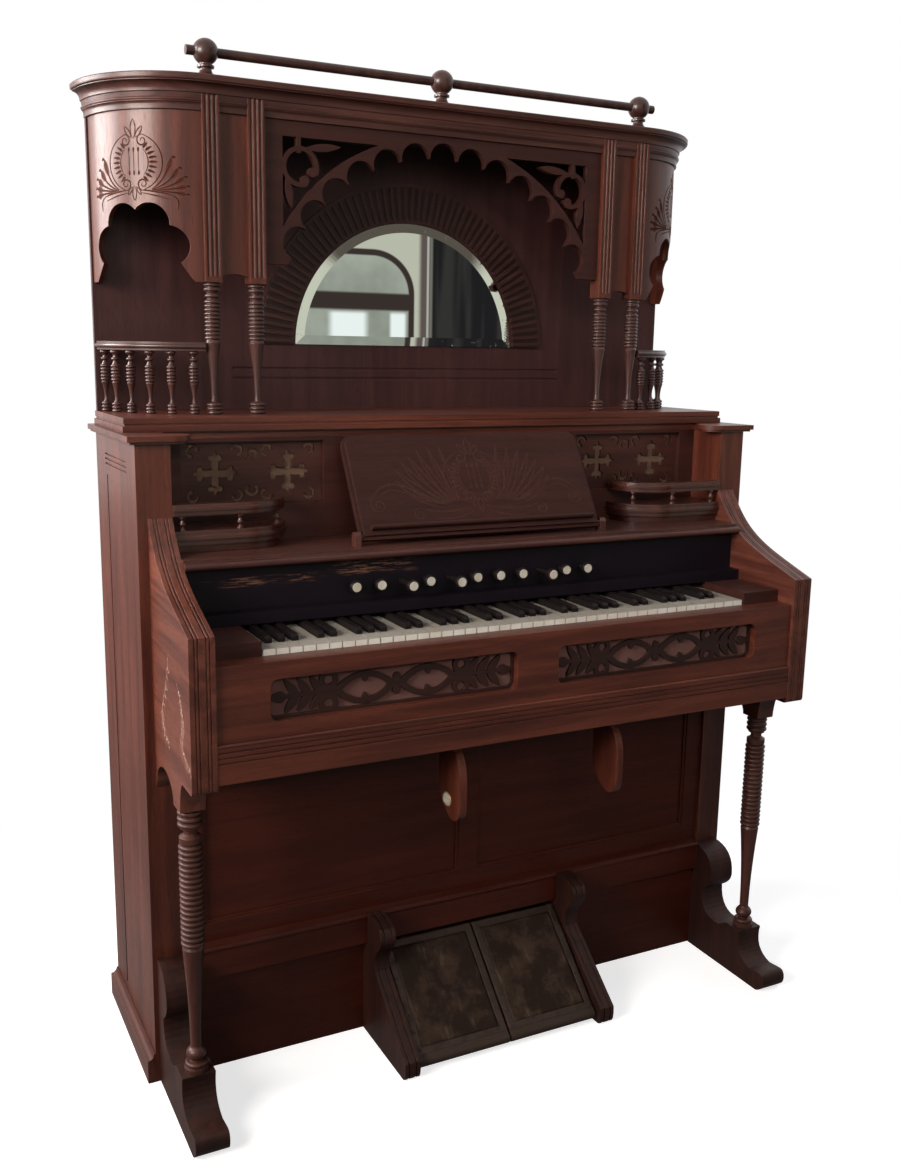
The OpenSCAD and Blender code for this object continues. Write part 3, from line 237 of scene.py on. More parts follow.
def in_view(bench, reflected):
    """1 for what the camera sees straight or through glass, and a share of it for reflections."""
    straight, shiny, clear = (bench.node("LightPath", {}, out=f"Is {ray} Ray")
                              for ray in ("Camera", "Glossy", "Transmission"))
    return bench.maths("MAXIMUM", straight, bench.maths("MAXIMUM", shiny * reflected, clear))


floor_mesh = bpy.data.meshes.new("floor")
corners = [(-FLOOR_HALF, -FLOOR_HALF, 0), (FLOOR_HALF, -FLOOR_HALF, 0),
           (FLOOR_HALF, FLOOR_HALF, 0), (-FLOOR_HALF, FLOOR_HALF, 0)]
floor_mesh.from_pydata(corners, [], [(0, 1, 2, 3)])
floor = bpy.data.objects.new("floor", floor_mesh)
scene.collection.objects.link(floor)

pale_floor, bench = new_finish("pale_floor")
spot = bench.place()
reach = bench.node("VectorMath", {0: spot}, out="Value", operation="LENGTH")
paint = bench.node("BsdfDiffuse", {"Color": (0.7, 0.7, 0.7, 1)})
near_glow = bench.node("Emission", {"Color": WHITE, "Strength": GLOW_NEAR})
near = bench.node("AddShader", {0: paint, 1: near_glow})
far = bench.node("Emission", {"Color": WHITE, "Strength": GLOW_FAR})
lit = bench.node("MixShader", {0: bench.step(reach, FADE_FROM, FADE_TO), 1: near, 2: far})
carpet_and_shade = bench.node("BsdfDiffuse", {"Color": CARPET_AND_SHADE})
# Painted shade: the floor inside the case and under the treadles takes the dark carpet colour.
inside, under_treadles = (bench.band(bench.part(spot, "X"), *across, SHADE_EDGE)
                          * bench.band(bench.part(spot, "Y"), *back, SHADE_EDGE) for across, back in COVERED)
lit = bench.node("MixShader", {0: bench.maths("MAXIMUM", inside, under_treadles), 1: lit, 2: carpet_and_shade})
seen = in_view(bench, reflected=FLOOR_IN_SHINE)
bench.node("OutputMaterial", {"Surface": bench.node("MixShader", {0: seen, 1: carpet_and_shade, 2: lit})})
floor.data.materials.append(pale_floor)
print("floor", 2 * FLOOR_HALF, "m wide")

# %% [markdown]
# The world is the rest of the room. Its own light is weak and a little blue, like the sky in a window.

# %% World
ROOM_COLOUR = (0.86, 0.88, 1.0, 1)
ROOM_STRENGTH = 0.055

world = bpy.data.worlds.new("white_room")
scene.world = world
world.use_nodes = True
bench = Bench(world.node_tree)
seen = in_view(bench, reflected=1.0)
room = bench.node("Background", {"Color": ROOM_COLOUR, "Strength": ROOM_STRENGTH})
white = bench.node("Background", {"Color": WHITE, "Strength": 1.0})
bench.node("OutputWorld", {"Surface": bench.node("MixShader", {0: seen, 1: room, 2: white})})
print("room light", ROOM_STRENGTH)

# %% [markdown]
# ## Lights
#
# A wide window on the left, set a little behind the organ, gives the strong light on the case side and
# the glare on the rounded end. A weaker light from the left front finds the inner face of the right arm,
# and a narrow one in front reaches the keys and the slip but fades towards the floor. A faint one on the
# right keeps the shaded side from going black. Area lights have soft shadows, and a narrowed spread
# keeps each of them on its own part of the case.

# %% Lights
def soft_light(name, place, aim, size, power, colour, cone, shiny=True):
    lamp = bpy.data.lights.new(name, "AREA")
    lamp.shape = "RECTANGLE"
    lamp.size, lamp.size_y = size
    lamp.energy = power
    lamp.color = colour
    lamp.spread = math.radians(cone)
    holder = bpy.data.objects.new(name, lamp)
    holder.location = place
    holder.rotation_euler = (Vector(aim) - Vector(place)).to_track_quat("-Z", "Y").to_euler()
    holder.visible_glossy = shiny
    scene.collection.objects.link(holder)


soft_light("window", place=(-3.2, 1.5, 2.5), aim=(-0.6, 0.1, 1.6), size=(2.2, 1.5), power=64,
           colour=(1.0, 0.96, 0.94), cone=90)
soft_light("left_front", place=(-3.0, -1.1, 2.2), aim=(0.3, -0.1, 1.3), size=(1.5, 1.3), power=38,
           colour=(1.0, 0.92, 0.85), cone=80)
soft_light("room_front", place=(-0.5, -3.2, 2.3), aim=(0.1, 0, 1.2), size=(2.0, 1.0), power=6,
           colour=(1.0, 0.93, 0.9), cone=45, shiny=False)
soft_light("right_back", place=(2.9, 0.9, 2.0), aim=(0.5, 0.1, 1.0), size=(1.6, 1.6), power=12,
           colour=(0.92, 0.95, 1.0), cone=70, shiny=False)
print("window and three fills lit")

# %% [markdown]
# ## Varnished walnut
#
# The case is walnut, stained red-brown and varnished. A photograph of a board could be wrapped round it,
# but it would repeat and stretch, so the grain is grown from noise instead. Real boards have long fibres,
# so the figure and the pores are drawn out along the grain: slow bands for the one, short dark streaks
# for the other. Clouds give the uneven age of the varnish. Edges are rounded by the Bevel node, and where
# its normal leaves the true one there is an edge, which is where hands rub the varnish thin. A little
# grey dust lies on what faces up.

# %% Wood finish
ALONG = {"x": (0.06, 1.0, 1.0), "y": (1.0, 0.06, 1.0), "z": (1.0, 1.0, 0.06)}
DUST = (0.11, 0.08, 0.068)
PORE_SHADE = (0.3, 0.3, 0.3)
RUBBED_PALE = (2.6, 2.9, 3.0)


def wood(name, deep, pale, grain, shine=0.3, coat=0.1, wear=0.35, dust=0.1, figure=42.0, contrast=1.0,
         gloss=0.26, edge=0.0014, rays=None):
    finish, bench = new_finish(name)
    place = bench.place()
    board = bench.stretch(place, ALONG[grain])
    bands = bench.noise(board, figure, 6.0, 0.62, 0.6)
    pores = bench.step(bench.noise(board, figure * 18, 2.0), 0.54, 0.72)
    cloud = bench.noise(place, 5.5, 4.0)
    rounded = bench.rounded(edge)
    face = bench.true_face()
    patchy = bench.step(bench.noise(place, 34.0, 5.0, 0.7), 0.38, 0.66)
    rubbed = bench.step(bench.turn(rounded, face), 0.02, 0.16) * patchy * wear
    dusty = bench.step(bench.part(face, "Z"), 0.55, 0.95) * bench.step(cloud, 0.3, 0.7) * dust

    middle = tuple((a + b) / 2 for a, b in zip(deep, pale))
    colour = bench.mix(bench.step(bands, 0.3, 0.7), deep, pale)
    colour = bench.mix(1 - contrast, colour, middle)
    colour = bench.mix(bench.step(cloud, 0.35, 0.8) * 0.45, colour, deep)
    colour = bench.mix(pores * 0.45, colour, tinted(deep, PORE_SHADE))
    colour = bench.mix(rubbed, colour, tinted(pale, RUBBED_PALE))
    colour = bench.mix(dusty, colour, DUST)
    if rays is not None:
        colour = shade_ribs(bench, place, rays, colour, deep)
    rough = shine + cloud * 0.16 + pores * 0.14 + rubbed * 0.2 + dusty * 0.5
    fibre = bench.relief(0.16, 0.0012, bands * 0.25 - pores * 0.5 + cloud * 0.4, Normal=rounded)
    bench.surface({"Base Color": colour, "Roughness": rough, "Normal": fibre, "Specular IOR Level": gloss,
                   "Coat Weight": coat, "Coat Roughness": 0.18})
    return finish


print("wood finish ready")

# %% [markdown]
# The fan round the mirror has fine ribs, with painted shade in the valleys between them. The valleys lie
# on rays from the middle of the mirror, so the painted shade follows the angle: the cosine of the angle,
# times twice the number of ribs in the half round, is a wave with one crest to each valley.

# %% Painted shade between the ribs of the fan
RIB_SHADE = (0.25, 0.25, 0.25)
RIB_END = 0.006


def shade_ribs(bench, place, rays, colour, deep):
    around = bench.node("VectorMath", {0: place, 1: rays["middle"]}, operation="SUBTRACT")
    apart = bench.part(around, "X")
    rise = bench.part(around, "Z")
    reach = bench.distance(apart, rise)
    wave = bench.maths("COSINE", bench.maths("ARCTAN2", rise, apart) * (2 * rays["count"]))
    ring = bench.step(reach, rays["inner"], rays["inner"] + RIB_END)
    ring = ring * (1 - bench.step(reach, rays["outer"] - RIB_END, rays["outer"]))
    # Painted shade: the valleys between the ribs are darkened.
    gap = bench.step(wave, -0.3, 0.4) * ring
    return bench.mix(gap * 0.8, colour, tinted(deep, RIB_SHADE))


fan_low, fan_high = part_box("mirror_fan")
RAYS = {"middle": (0.0, 0.0, fan_low.z), "count": 60, "inner": fan_high.x - 0.074,
        "outer": fan_high.x - 0.004}
print(RAYS["count"], "ribs from radius", round(RAYS["inner"], 3), "to", round(RAYS["outer"], 3), "m")

# %% [markdown]
# One organ holds many boards, and they haven't aged alike, though some of their colours paint light and
# shade instead. The arms by the window are bleached, the cornice and the shelf are greyer, partly a painted
# haze of the window's light, the canopy back is lighter and bluer than the other dark walnut as painted
# window glare, the lower panels are redder, the feet and treadle cheeks are darker as painted shade low down
# where the window's light doesn't reach, and the carved and turned work was stained darker from the start.
# Each has its own pair of colours, and its own shine where hands or rags have polished it.

# %% Woods of this organ
DEEP = (0.042, 0.0092, 0.0054)
PALE = (0.105, 0.027, 0.0145)
walnut = {grain: wood("walnut_" + grain, DEEP, PALE, grain) for grain in ALONG}
dark_walnut = wood("dark_walnut_x", (0.019, 0.0055, 0.0045), (0.042, 0.0125, 0.0095), "x", shine=0.38,
                   coat=0.0, contrast=0.7, gloss=0.2)
arm_walnut = wood("arm_walnut", (0.05, 0.0135, 0.0088), (0.125, 0.038, 0.0235), "y")
shelf_walnut = wood("shelf_walnut", (0.024, 0.0062, 0.0045), (0.058, 0.017, 0.0108), "x", shine=0.2,
                    coat=0.35, wear=0.5, edge=0.004)
# Partly painted haze: greyer and bluer for the window's light on the cornice and the shelf.
top_walnut = wood("top_walnut", (0.031, 0.0092, 0.0073), (0.078, 0.027, 0.0195), "x")
# Painted glare: a lighter, bluer copy of the dark walnut for the window's light on the canopy back.
niche_walnut = wood("niche_walnut", (0.0225, 0.0078, 0.0077), (0.05, 0.0178, 0.0168), "z", shine=0.38,
                    coat=0.0, contrast=0.7, gloss=0.2)
leg_walnut = wood("leg_walnut", (0.034, 0.0085, 0.0056), (0.074, 0.025, 0.0165), "z", shine=0.34, wear=0.3)
panel_walnut = wood("panel_walnut", (0.03, 0.0058, 0.0034), (0.07, 0.0145, 0.0075), "x", contrast=0.6,
                    gloss=0.16, coat=0.0, figure=30.0)
# Painted shade: the feet and treadle cheeks are darkened where the window's light doesn't reach.
foot_walnut = wood("foot_walnut", (0.016, 0.0055, 0.004), (0.036, 0.0115, 0.008), "z", shine=0.42, coat=0.0,
                   gloss=0.2)
desk_walnut = wood("desk_walnut", (0.02, 0.0076, 0.0062), (0.042, 0.0155, 0.0125), "x", shine=0.42, coat=0.0,
                   contrast=0.6, gloss=0.1)
carved = wood("carved_walnut", (0.022, 0.006, 0.0043), (0.05, 0.0145, 0.0102), "x", shine=0.38, wear=0.5,
              coat=0.0)
slip_carved = wood("slip_carved_walnut", (0.011, 0.0036, 0.0027), (0.026, 0.0085, 0.0062), "x", shine=0.42,
                   coat=0.0)
fan_walnut = wood("fan_walnut", (0.019, 0.0058, 0.0045), (0.042, 0.0128, 0.0095), "x", shine=0.38, coat=0.0,
                  rays=RAYS)
turned = wood("turned_walnut", (0.025, 0.008, 0.0064), (0.058, 0.0225, 0.0172), "z", shine=0.26, coat=0.3,
              wear=0.4)
bare = wood("bare_pine", (0.11, 0.072, 0.045), (0.2, 0.14, 0.09), "z", shine=0.6, coat=0.0, dust=0.4)
print("walnut with the grain along", ", ".join(walnut), "and the darker woods made")

# %% [markdown]
# Each solid takes the wood whose grain runs along its boards: upright on sides and pilasters, from side to
# side on rails and shelves, from front to back on arms and base mouldings. The back is bare pine.

# %% Put the wood on
def dress(finish, *names):
    for name in names:
        for holder in solids[name].material_slots:
            holder.material = finish


WOODWORK = [
    (walnut["z"], ("left_side", "right_side", "left_end", "right_end", "pilasters", "bay_panels",
                   "left_knee_lever", "right_knee_lever")),
    (walnut["x"], ("key_slip", "case_top", "canopy_base", "key_bed")),
    (walnut["y"], ("plinth",)),
    (arm_walnut, ("left_arm", "right_arm")),
    (top_walnut, ("cornice", "shelf")),
    (shelf_walnut, ("lamp_shelves",)),
    (panel_walnut, ("lower_frame", "lower_panels", "base_rail", "kick_board")),
    (foot_walnut, ("feet", "treadle_frame")),
    (desk_walnut, ("music_desk",)),
    (dark_walnut, ("fret_wall", "arch_panel", "key_blocks")),
    (niche_walnut, ("canopy_back",)),
    (carved, ("upper_frets",)),
    (slip_carved, ("slip_frets",)),
    (fan_walnut, ("mirror_fan",)),
    (leg_walnut, ("front_columns",)),
    (turned, ("canopy_columns", "galleries", "gallery_posts", "gallery_rod")),
    (bare, ("case_back", "case_floor")),
]
for finish, names in WOODWORK:
    dress(finish, *names)
print("wood on", sum(len(names) for finish, names in WOODWORK), "solids")

# %% [markdown]
# ## Black wood
#
# The stop board and the strip behind the keys are ebonised: black stain under a thin polish, scratched
# through to brown in two places where hands rub. Sharps and stop knobs are black too. Scratches could be
# drawn one by one, but long thin noise does it for the whole board: it is let through only inside two soft
# rectangles, and only where a second, slower noise agrees.

# %% Ebonised wood
RUBBED = [((-0.55, -0.35), (0.949, 0.963)), ((-0.31, -0.17), (0.955, 0.982))]
SOFT_ACROSS = 0.03
SOFT_UP = 0.004
BARE_BROWN = (0.15, 0.068, 0.042)
CLOUDED = (1.8, 1.8, 1.8)


def black_wood(name, colour, scratch, shine):
    finish, bench = new_finish(name)
    place = bench.place()
    streak = bench.noise(bench.stretch(place, (0.12, 1.0, 1.0)), 240.0, 3.0)
    long_streak = bench.noise(bench.stretch(place, (0.07, 1.0, 1.0)), 430.0, 4.0, 0.6)
    cloud = bench.noise(place, 9.0, 5.0, 0.65)
    patch = bench.step(bench.noise(bench.stretch(place, (1.0, 1.0, 3.0)), 16.0, 2.0), 0.34, 0.56)
    left, middle = (bench.band(bench.part(place, "X"), *across, SOFT_ACROSS)
                    * bench.band(bench.part(place, "Z"), *rise, SOFT_UP) for across, rise in RUBBED)
    through = bench.step(long_streak + streak * 0.2, 0.6, 0.68) * patch * (left + middle) * scratch
    tone = bench.mix(cloud * 0.5, colour, tinted(colour, CLOUDED))
    tone = bench.mix(through, tone, BARE_BROWN)
    relief = bench.relief(0.12, 0.0006, streak - through, Normal=bench.rounded(0.001))
    bench.surface({"Base Color": tone, "Roughness": shine + cloud * 0.2 + through * 0.3, "Normal": relief,
                   "Specular IOR Level": 0.1})
    return finish


ebonised = black_wood("ebonised_wood", (0.0045, 0.003, 0.0048), scratch=0.9, shine=0.36)
ebony = black_wood("ebony", (0.007, 0.0052, 0.0052), scratch=0.0, shine=0.32)
knob_wood = black_wood("knob_wood", (0.007, 0.005, 0.005), scratch=0.2, shine=0.3)
stop_names = [name for name in solids if name.startswith("stop_") and name != "stop_board"]
dress(ebonised, "stop_board", "name_strip")
dress(ebony, "black_keys")
dress(knob_wood, *stop_names)
print("black finishes on", 3 + len(stop_names), "solids")

# %% [markdown]
# ## Ivory
#
# The key tops and the plates of the stops are thin ivory, yellowed in patches, with faint lines along the
# grain. A key top is two pieces glued end to end, and the joint between head and tail, just in front of
# the sharps, collects dirt. The edges of the keys are darker, and the tops are darker too: dulled by
# playing, and a painted shade on what faces up. The joint could be cut into the mesh, but one dark line
# across all keys in the finish is enough.

# %% Ivory
GRAIN_SHADE = (0.75, 0.72, 0.62)
JOINT_DIRT = (0.12, 0.09, 0.06)
PLAYED_AND_SHADED = (0.21, 0.185, 0.15)
KEY_EDGE_DARK = (0.10, 0.075, 0.06)


def soil_and_shade_keys(bench, place, tone, joint_y):
    """Tint the joint, the tops, dulled by playing and painted shade, and the dark key edges; say where the
    joint is.
    """
    joint = 1 - bench.step(bench.maths("ABSOLUTE", bench.part(place, "Y") - joint_y), 0.0003, 0.0009)
    face = bench.true_face()
    # Painted shade with the wear: the tops are darkened as well as dulled by playing; the key edges are
    # darker.
    played_and_shaded = bench.step(bench.part(face, "Z"), 0.4, 0.9)
    edge = bench.step(bench.turn(bench.rounded(0.0022), face), 0.03, 0.2)
    tone = bench.mix(joint * 0.6, tone, JOINT_DIRT)
    tone = bench.mix(played_and_shaded * 0.75, tone, PLAYED_AND_SHADED)
    tone = bench.mix(edge * 0.75, tone, KEY_EDGE_DARK)
    return tone, joint


def ivory(name, colour, aged, joint_y=None):
    finish, bench = new_finish(name)
    place = bench.place()
    cloud = bench.noise(place, 28.0, 4.0, 0.6)
    slow = bench.noise(place, 6.0, 2.0)
    lines = bench.noise(bench.stretch(place, (1.0, 0.05, 0.3)), 420.0, 2.0)
    tone = bench.mix(bench.step(cloud * 0.6 + slow * 0.4, 0.34, 0.66), colour, aged)
    tone = bench.mix(bench.step(lines, 0.52, 0.75) * 0.18, tone, tinted(aged, GRAIN_SHADE))
    dent = lines * 0.3 + cloud * 0.4
    if joint_y is not None:
        tone, joint = soil_and_shade_keys(bench, place, tone, joint_y)
        dent = dent - joint
    relief = bench.relief(0.1, 0.0005, dent, Normal=bench.rounded(0.0012))
    bench.surface({"Base Color": tone, "Roughness": 0.26 + cloud * 0.2, "Normal": relief,
                   "Specular IOR Level": 0.3, "Coat Weight": 0.08, "Coat Roughness": 0.2})
    return finish


JOINT_AHEAD = 0.003
key_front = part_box("white_keys")[0].y
sharp_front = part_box("black_keys")[0].y
key_ivory = ivory("key_ivory", (0.60, 0.595, 0.545), (0.50, 0.47, 0.405), joint_y=sharp_front - JOINT_AHEAD)
plate_ivory = ivory("plate_ivory", (0.45, 0.43, 0.37), (0.37, 0.335, 0.26))
dress(key_ivory, "white_keys")
print("key heads are", round((sharp_front - key_front) * 1000, 1), "mm long")

# %% [markdown]
# ## Pieces made in mesh code
#
# What follows is new mesh, written in millimetres. One helper turns points and faces into a piece that
# rides its body. Two others join points by faces: a net laid row by row, for cloth and covering, and
# rings one behind the other, for what is turned or framed.

# %% Piece helpers
MM = 0.001


def box_mm(node):
    return [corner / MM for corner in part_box(node)]


def make_piece(name, points, faces, body, finish, smooth=True):
    mesh = bpy.data.meshes.new(name)
    mesh.from_pydata([tuple(c * MM for c in p) for p in points], [], faces)
    mesh.validate()
    mesh.update()
    mesh.polygons.foreach_set("use_smooth", [smooth] * len(mesh.polygons))
    mesh.materials.append(finish)
    made = bpy.data.objects.new(name, mesh)
    scene.collection.objects.link(made)
    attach(made, body)
    return made


def net_faces(cols, rows, start=0):
    """Faces between the points of a net, which are laid row by row."""
    wide = cols + 1
    corners = [start + j * wide + i for j in range(rows) for i in range(cols)]
    return [(k, k + 1, k + wide + 1, k + wide) for k in corners]


def ring_faces(around, rings):
    """Faces between closed rings of points."""
    steps = [(ring * around, k, (k + 1) % around) for ring in range(rings - 1) for k in range(around)]
    return [(low + k, low + n, low + around + n, low + around + k) for low, k, n in steps]


def end_faces(around, rings):
    """The faces that close the first and the last ring."""
    return [tuple(range(around - 1, -1, -1)), tuple(range((rings - 1) * around, rings * around))]


print("helpers ready")

# %% [markdown]
# ## Stop faces
#
# Each draw stop has a round ivory plate let into its knob. A maker turns such a plate on a lathe, with a
# shallow dish and a rounded lip, so the helper does the same: it sweeps a half profile round an axis. A
# Screw modifier could do it too, but here the points go straight to their places on eleven knobs, three
# of which are pulled out.

# %% Ivory plates on the stops
FACE_R = 8.6
FACE = [(FACE_R - 0.4, -1.0), (FACE_R, -0.6), (FACE_R, 0.5), (FACE_R - 0.7, 1.0), (FACE_R - 1.6, 0.75),
        (FACE_R * 0.5, 0.55), (0.4, 0.5)]


def lathe(profile, place, turns=40, squeeze=1.0):
    """Points and faces of a half profile of (radius, height) turned round an axis; place maps them."""
    angles = [2 * math.pi * k / turns for k in range(turns)]
    points = [place(r * math.cos(a), r * squeeze * math.sin(a), h) for r, h in profile for a in angles]
    return points, ring_faces(turns, len(profile)) + end_faces(turns, len(profile))


for name in stop_names:
    low, high = box_mm(name)
    middle = (low + high) / 2
    points, faces = lathe(FACE, lambda u, v, h: (middle.x + u, low.y - h, middle.z + v))
    make_piece(name + "_plate", points, faces, name, plate_ivory)
print(len(stop_names), "stop faces made")

# %% [markdown]
# ## The bevelled mirror
#
# The half-round mirror has a ground bevel all round, which bends the reflection in a bright band. A Bevel
# modifier cuts as far into the edge as into the face, so on thin glass it can't grind this wide. Instead
# the outline is drawn three times: at the back, at the front edge, and a bevel's width inside it.

# %% Mirror plate
BEVEL = 19.0
EDGE_DROP = 1.5
EDGE_GAP = 0.5
ARC = 96
low, high = box_mm("mirror_glass")
MIRROR_R = (high.x - low.x) / 2
MIRROR_FOOT = low.z


def half_round(inset, y):
    """A half circle at an even distance inside the mirror's outline, foot and all."""
    r = MIRROR_R - inset
    tilt = math.asin(inset / r)
    span = math.pi - 2 * tilt
    angles = [tilt + span * k / ARC for k in range(ARC + 1)]
    return [(r * math.cos(a), y, MIRROR_FOOT + r * math.sin(a)) for a in angles]


outlines = [half_round(EDGE_GAP, high.y), half_round(EDGE_GAP, low.y + EDGE_DROP), half_round(BEVEL, low.y)]
mirror_points = [p for outline in outlines for p in outline]
mirror_faces = ring_faces(ARC + 1, len(outlines)) + end_faces(ARC + 1, len(outlines))
print("mirror radius", round(MIRROR_R), "mm with a", BEVEL, "mm bevel")

# %% [markdown]
# Old silvering dies from the edge: damp creeps in at the rim and the foot, where dark spots gather. Noise
# makes the spots, and a rim mask helps them over the threshold there. The rest stays a clean metal with a
# breath of fog.

# %% Old silvering
RIM_WIDTH = 34
FOOT_WIDTH = 0.03

silver, bench = new_finish("old_mirror")
place = bench.place()
spots = bench.noise(place, 60.0, 5.0, 0.7)
fog = bench.noise(place, 7.0, 4.0)
rise = bench.part(place, "Z") - MIRROR_FOOT * MM
reach = bench.distance(bench.part(place, "X"), rise)
rim = bench.step(reach, (MIRROR_R - RIM_WIDTH) * MM, MIRROR_R * MM) + 1 - bench.step(rise, 0.0, FOOT_WIDTH)
gone = bench.step(spots + rim * 0.1, 0.68, 0.84)
tone = bench.mix(gone * 0.75, (0.80, 0.84, 0.82), (0.10, 0.085, 0.075))
bench.surface({"Base Color": tone, "Metallic": 1 - gone * 0.6,
               "Roughness": 0.003 + fog * 0.012 + gone * 0.3})
mirror = make_piece("bevelled_mirror", mirror_points, mirror_faces, "case", silver, smooth=False)
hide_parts("mirror_glass")
print("mirror of", len(mirror_points), "points silvered")

# %% [markdown]
# ## What the mirror sees
#
# A mirror needs something to show. A wide card stands far off in front, where only reflections find it.
# The flat of the mirror shows one stretch of that card to the camera, and similar triangles tell which:
# the camera's image stands as far behind the glass as the camera stands before it.

# %% Card for the mirror
CARD_Y = -3.4
CARD_X = (-1.0, 5.2)
CARD_Z = (0.2, 4.0)

card_mesh = bpy.data.meshes.new("room_card")
corners = [(CARD_X[0], CARD_Y, CARD_Z[0]), (CARD_X[1], CARD_Y, CARD_Z[0]),
           (CARD_X[1], CARD_Y, CARD_Z[1]), (CARD_X[0], CARD_Y, CARD_Z[1])]
card_mesh.from_pydata(corners, [], [(3, 2, 1, 0)])
card = bpy.data.objects.new("room_card", card_mesh)
card.visible_camera = False
card.visible_shadow = False
card.visible_diffuse = False
scene.collection.objects.link(card)

glass_low, glass_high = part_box("mirror_glass")
spread = (2 * glass_low.y - STAND.y - CARD_Y) / (glass_low.y - STAND.y)
shown_from = STAND.x + spread * (glass_low.x - STAND.x)
shown_foot = STAND.z + spread * (glass_low.z - STAND.z)
shown_wide = spread * (glass_high.x - glass_low.x)
print("the mirror shows", round(shown_wide, 2), "m of the card")

# %% [markdown]
# The middle of the card has the look of the room: a pale wall with a dark arched frame and bright windows
# on one side, a post, and deep shade on the other. Its ends are bright, because the bevel bends the view
# that far and shines there. Places on it are shares of what the flat of the mirror shows: u across and v
# up. Each thing in the room is a mask with a colour, and they are painted one over the other.

# %% Paint the card
ARCH_FROM = (0.34, 0.42)
ARCH_REACH = (0.19, 0.36)
ARCH_BAR = (0.86, 1.0)
RAIL_UP = (0.29, 0.43)
RAIL_ACROSS = (-0.2, 0.52)
WINDOW_LEFT = (0.15, 0.31)
WINDOW_RIGHT = (0.42, 0.49)
WINDOW_UP = (0.05, 0.27)
POST = (0.555, 0.61)
POST_EDGE = (0.588, 0.598)
SHADE_FROM = (0.60, 0.62)
CEILING_FROM = (1.15, 1.4)
ROOM_ENDS = (-0.22, 1.3)
WALL = (0.46, 0.48, 0.42)
DIM_WALL = (0.28, 0.295, 0.25)

# The card glows though it is no lamp: its wall, bright windows, lit post edge and shade are painted light,
# which the mirror shows as a painted reflection.
painted_room, bench = new_finish("painted_room_glow")
place = bench.place()
u = (bench.part(place, "X") - shown_from) / shown_wide
v = (bench.part(place, "Z") - shown_foot) / (shown_wide / 2)
cloud = bench.noise(place, 2.2, 4.0)
stripes = bench.noise(bench.stretch(place, (1.0, 1.0, 0.06)), 9.0, 2.0)
bend_u, bend_v = (bench.maths("MAXIMUM", wire - start, 0) / reach
                  for wire, start, reach in zip((u, v), ARCH_FROM, ARCH_REACH))
arch = bench.distance(bend_u, bend_v)
rail = bench.band(v, *RAIL_UP, 0.012) * bench.band(u, *RAIL_ACROSS, 0.012)
windows = bench.band(u, *WINDOW_LEFT, 0.02) + bench.band(u, *WINDOW_RIGHT, 0.01)
shade = bench.step(u, *SHADE_FROM)
layers = [(bench.step(arch, 0.98, 1.0), (0.58, 0.58, 0.48)),
          (windows * bench.band(v, *WINDOW_UP, 0.02), (1.0, 1.05, 1.05)),
          (bench.maths("MAXIMUM", bench.band(arch, *ARCH_BAR, 0.02), rail), (0.048, 0.034, 0.03)),
          (bench.band(u, *POST, 0.012), (0.13, 0.098, 0.09)),
          (bench.band(u, *POST_EDGE, 0.003), (0.5, 0.5, 0.46)),
          (shade, (0.016, 0.0155, 0.017)),
          (shade * bench.step(stripes, 0.5, 0.7) * 0.5, (0.062, 0.058, 0.055)),
          (bench.step(v, *CEILING_FROM), (0.11, 0.092, 0.075)),
          (1 - bench.band(u, *ROOM_ENDS, 0.1), (0.66, 0.66, 0.55))]
tone = bench.mix(bench.step(cloud, 0.3, 0.7), WALL, DIM_WALL)
for mask, paint in layers:
    tone = bench.mix(mask, tone, paint)
bench.node("OutputMaterial", {"Surface": bench.node("Emission", {"Color": tone, "Strength": 1.0})})
card.data.materials.append(painted_room)
print(len(layers), "layers painted on the card")

# %% [markdown]
# ## Cloth behind the frets
#
# A reed organ speaks through cloth. Its weave is two sets of threads crossing at right angles, and the red
# dye has faded to tan. Threads of a millimetre are too many to model, so three waves stand in for them:
# two across each other for the relief, and a slanting one for the colours of warp and weft.

# %% Woven finish
THREAD = 1.1
FADED = (0.5, 0.45, 0.42)
THICK_THREAD = (1.25, 1.25, 1.2)


def woven(name, warp, weft):
    finish, bench = new_finish(name)
    place = bench.place()
    x = bench.part(place, "X")
    z = bench.part(place, "Z")
    turns = 2 * math.pi / (THREAD * MM)
    over, under, cross = (bench.maths("SINE", angle) * 0.5 + 0.5
                          for angle in (x * turns, z * turns, (x + z) * (turns * 0.5)))
    faded = bench.noise(place, 11.0, 4.0, 0.6)
    slub = bench.noise(bench.stretch(place, (0.15, 1.0, 1.0)), 500.0, 2.0)
    tone = bench.mix(cross, warp, weft)
    tone = bench.mix(bench.step(faded, 0.3, 0.75) * 0.5, tone, tinted(warp, FADED))
    tone = bench.mix(slub * 0.25, tone, tinted(warp, THICK_THREAD))
    relief = bench.relief(0.5, 0.0004, over * under + slub * 0.3)
    bench.surface({"Base Color": tone, "Roughness": 0.8 + slub * 0.15, "Normal": relief,
                   "Sheen Weight": 0.1, "Sheen Roughness": 0.5, "Specular IOR Level": 0.2})
    return finish


pink_cloth = woven("faded_pink_cloth", (0.135, 0.064, 0.053), (0.09, 0.041, 0.035))
brown_cloth = woven("faded_brown_cloth", (0.125, 0.075, 0.048), (0.085, 0.05, 0.033))
print("two woven finishes made, threads", THREAD, "mm apart")

# %% [markdown]
# The cloth is stretched over the back of each opening and tacked round the edge, so it is a single thin
# sheet with a faint sag between its tacks. Cloth simulation would give the same at more cost, because a
# tight sheet hardly moves: a net of points with a shallow hollow and a few ripples is enough. Each pair of
# cloths replaces the thin board that stands for it among the solids.

# %% Stretched cloths
CLOTH_NET = (60, 16)
CLOTH_LIFT = 0.5
SAG = 0.4
RIPPLE = 0.12


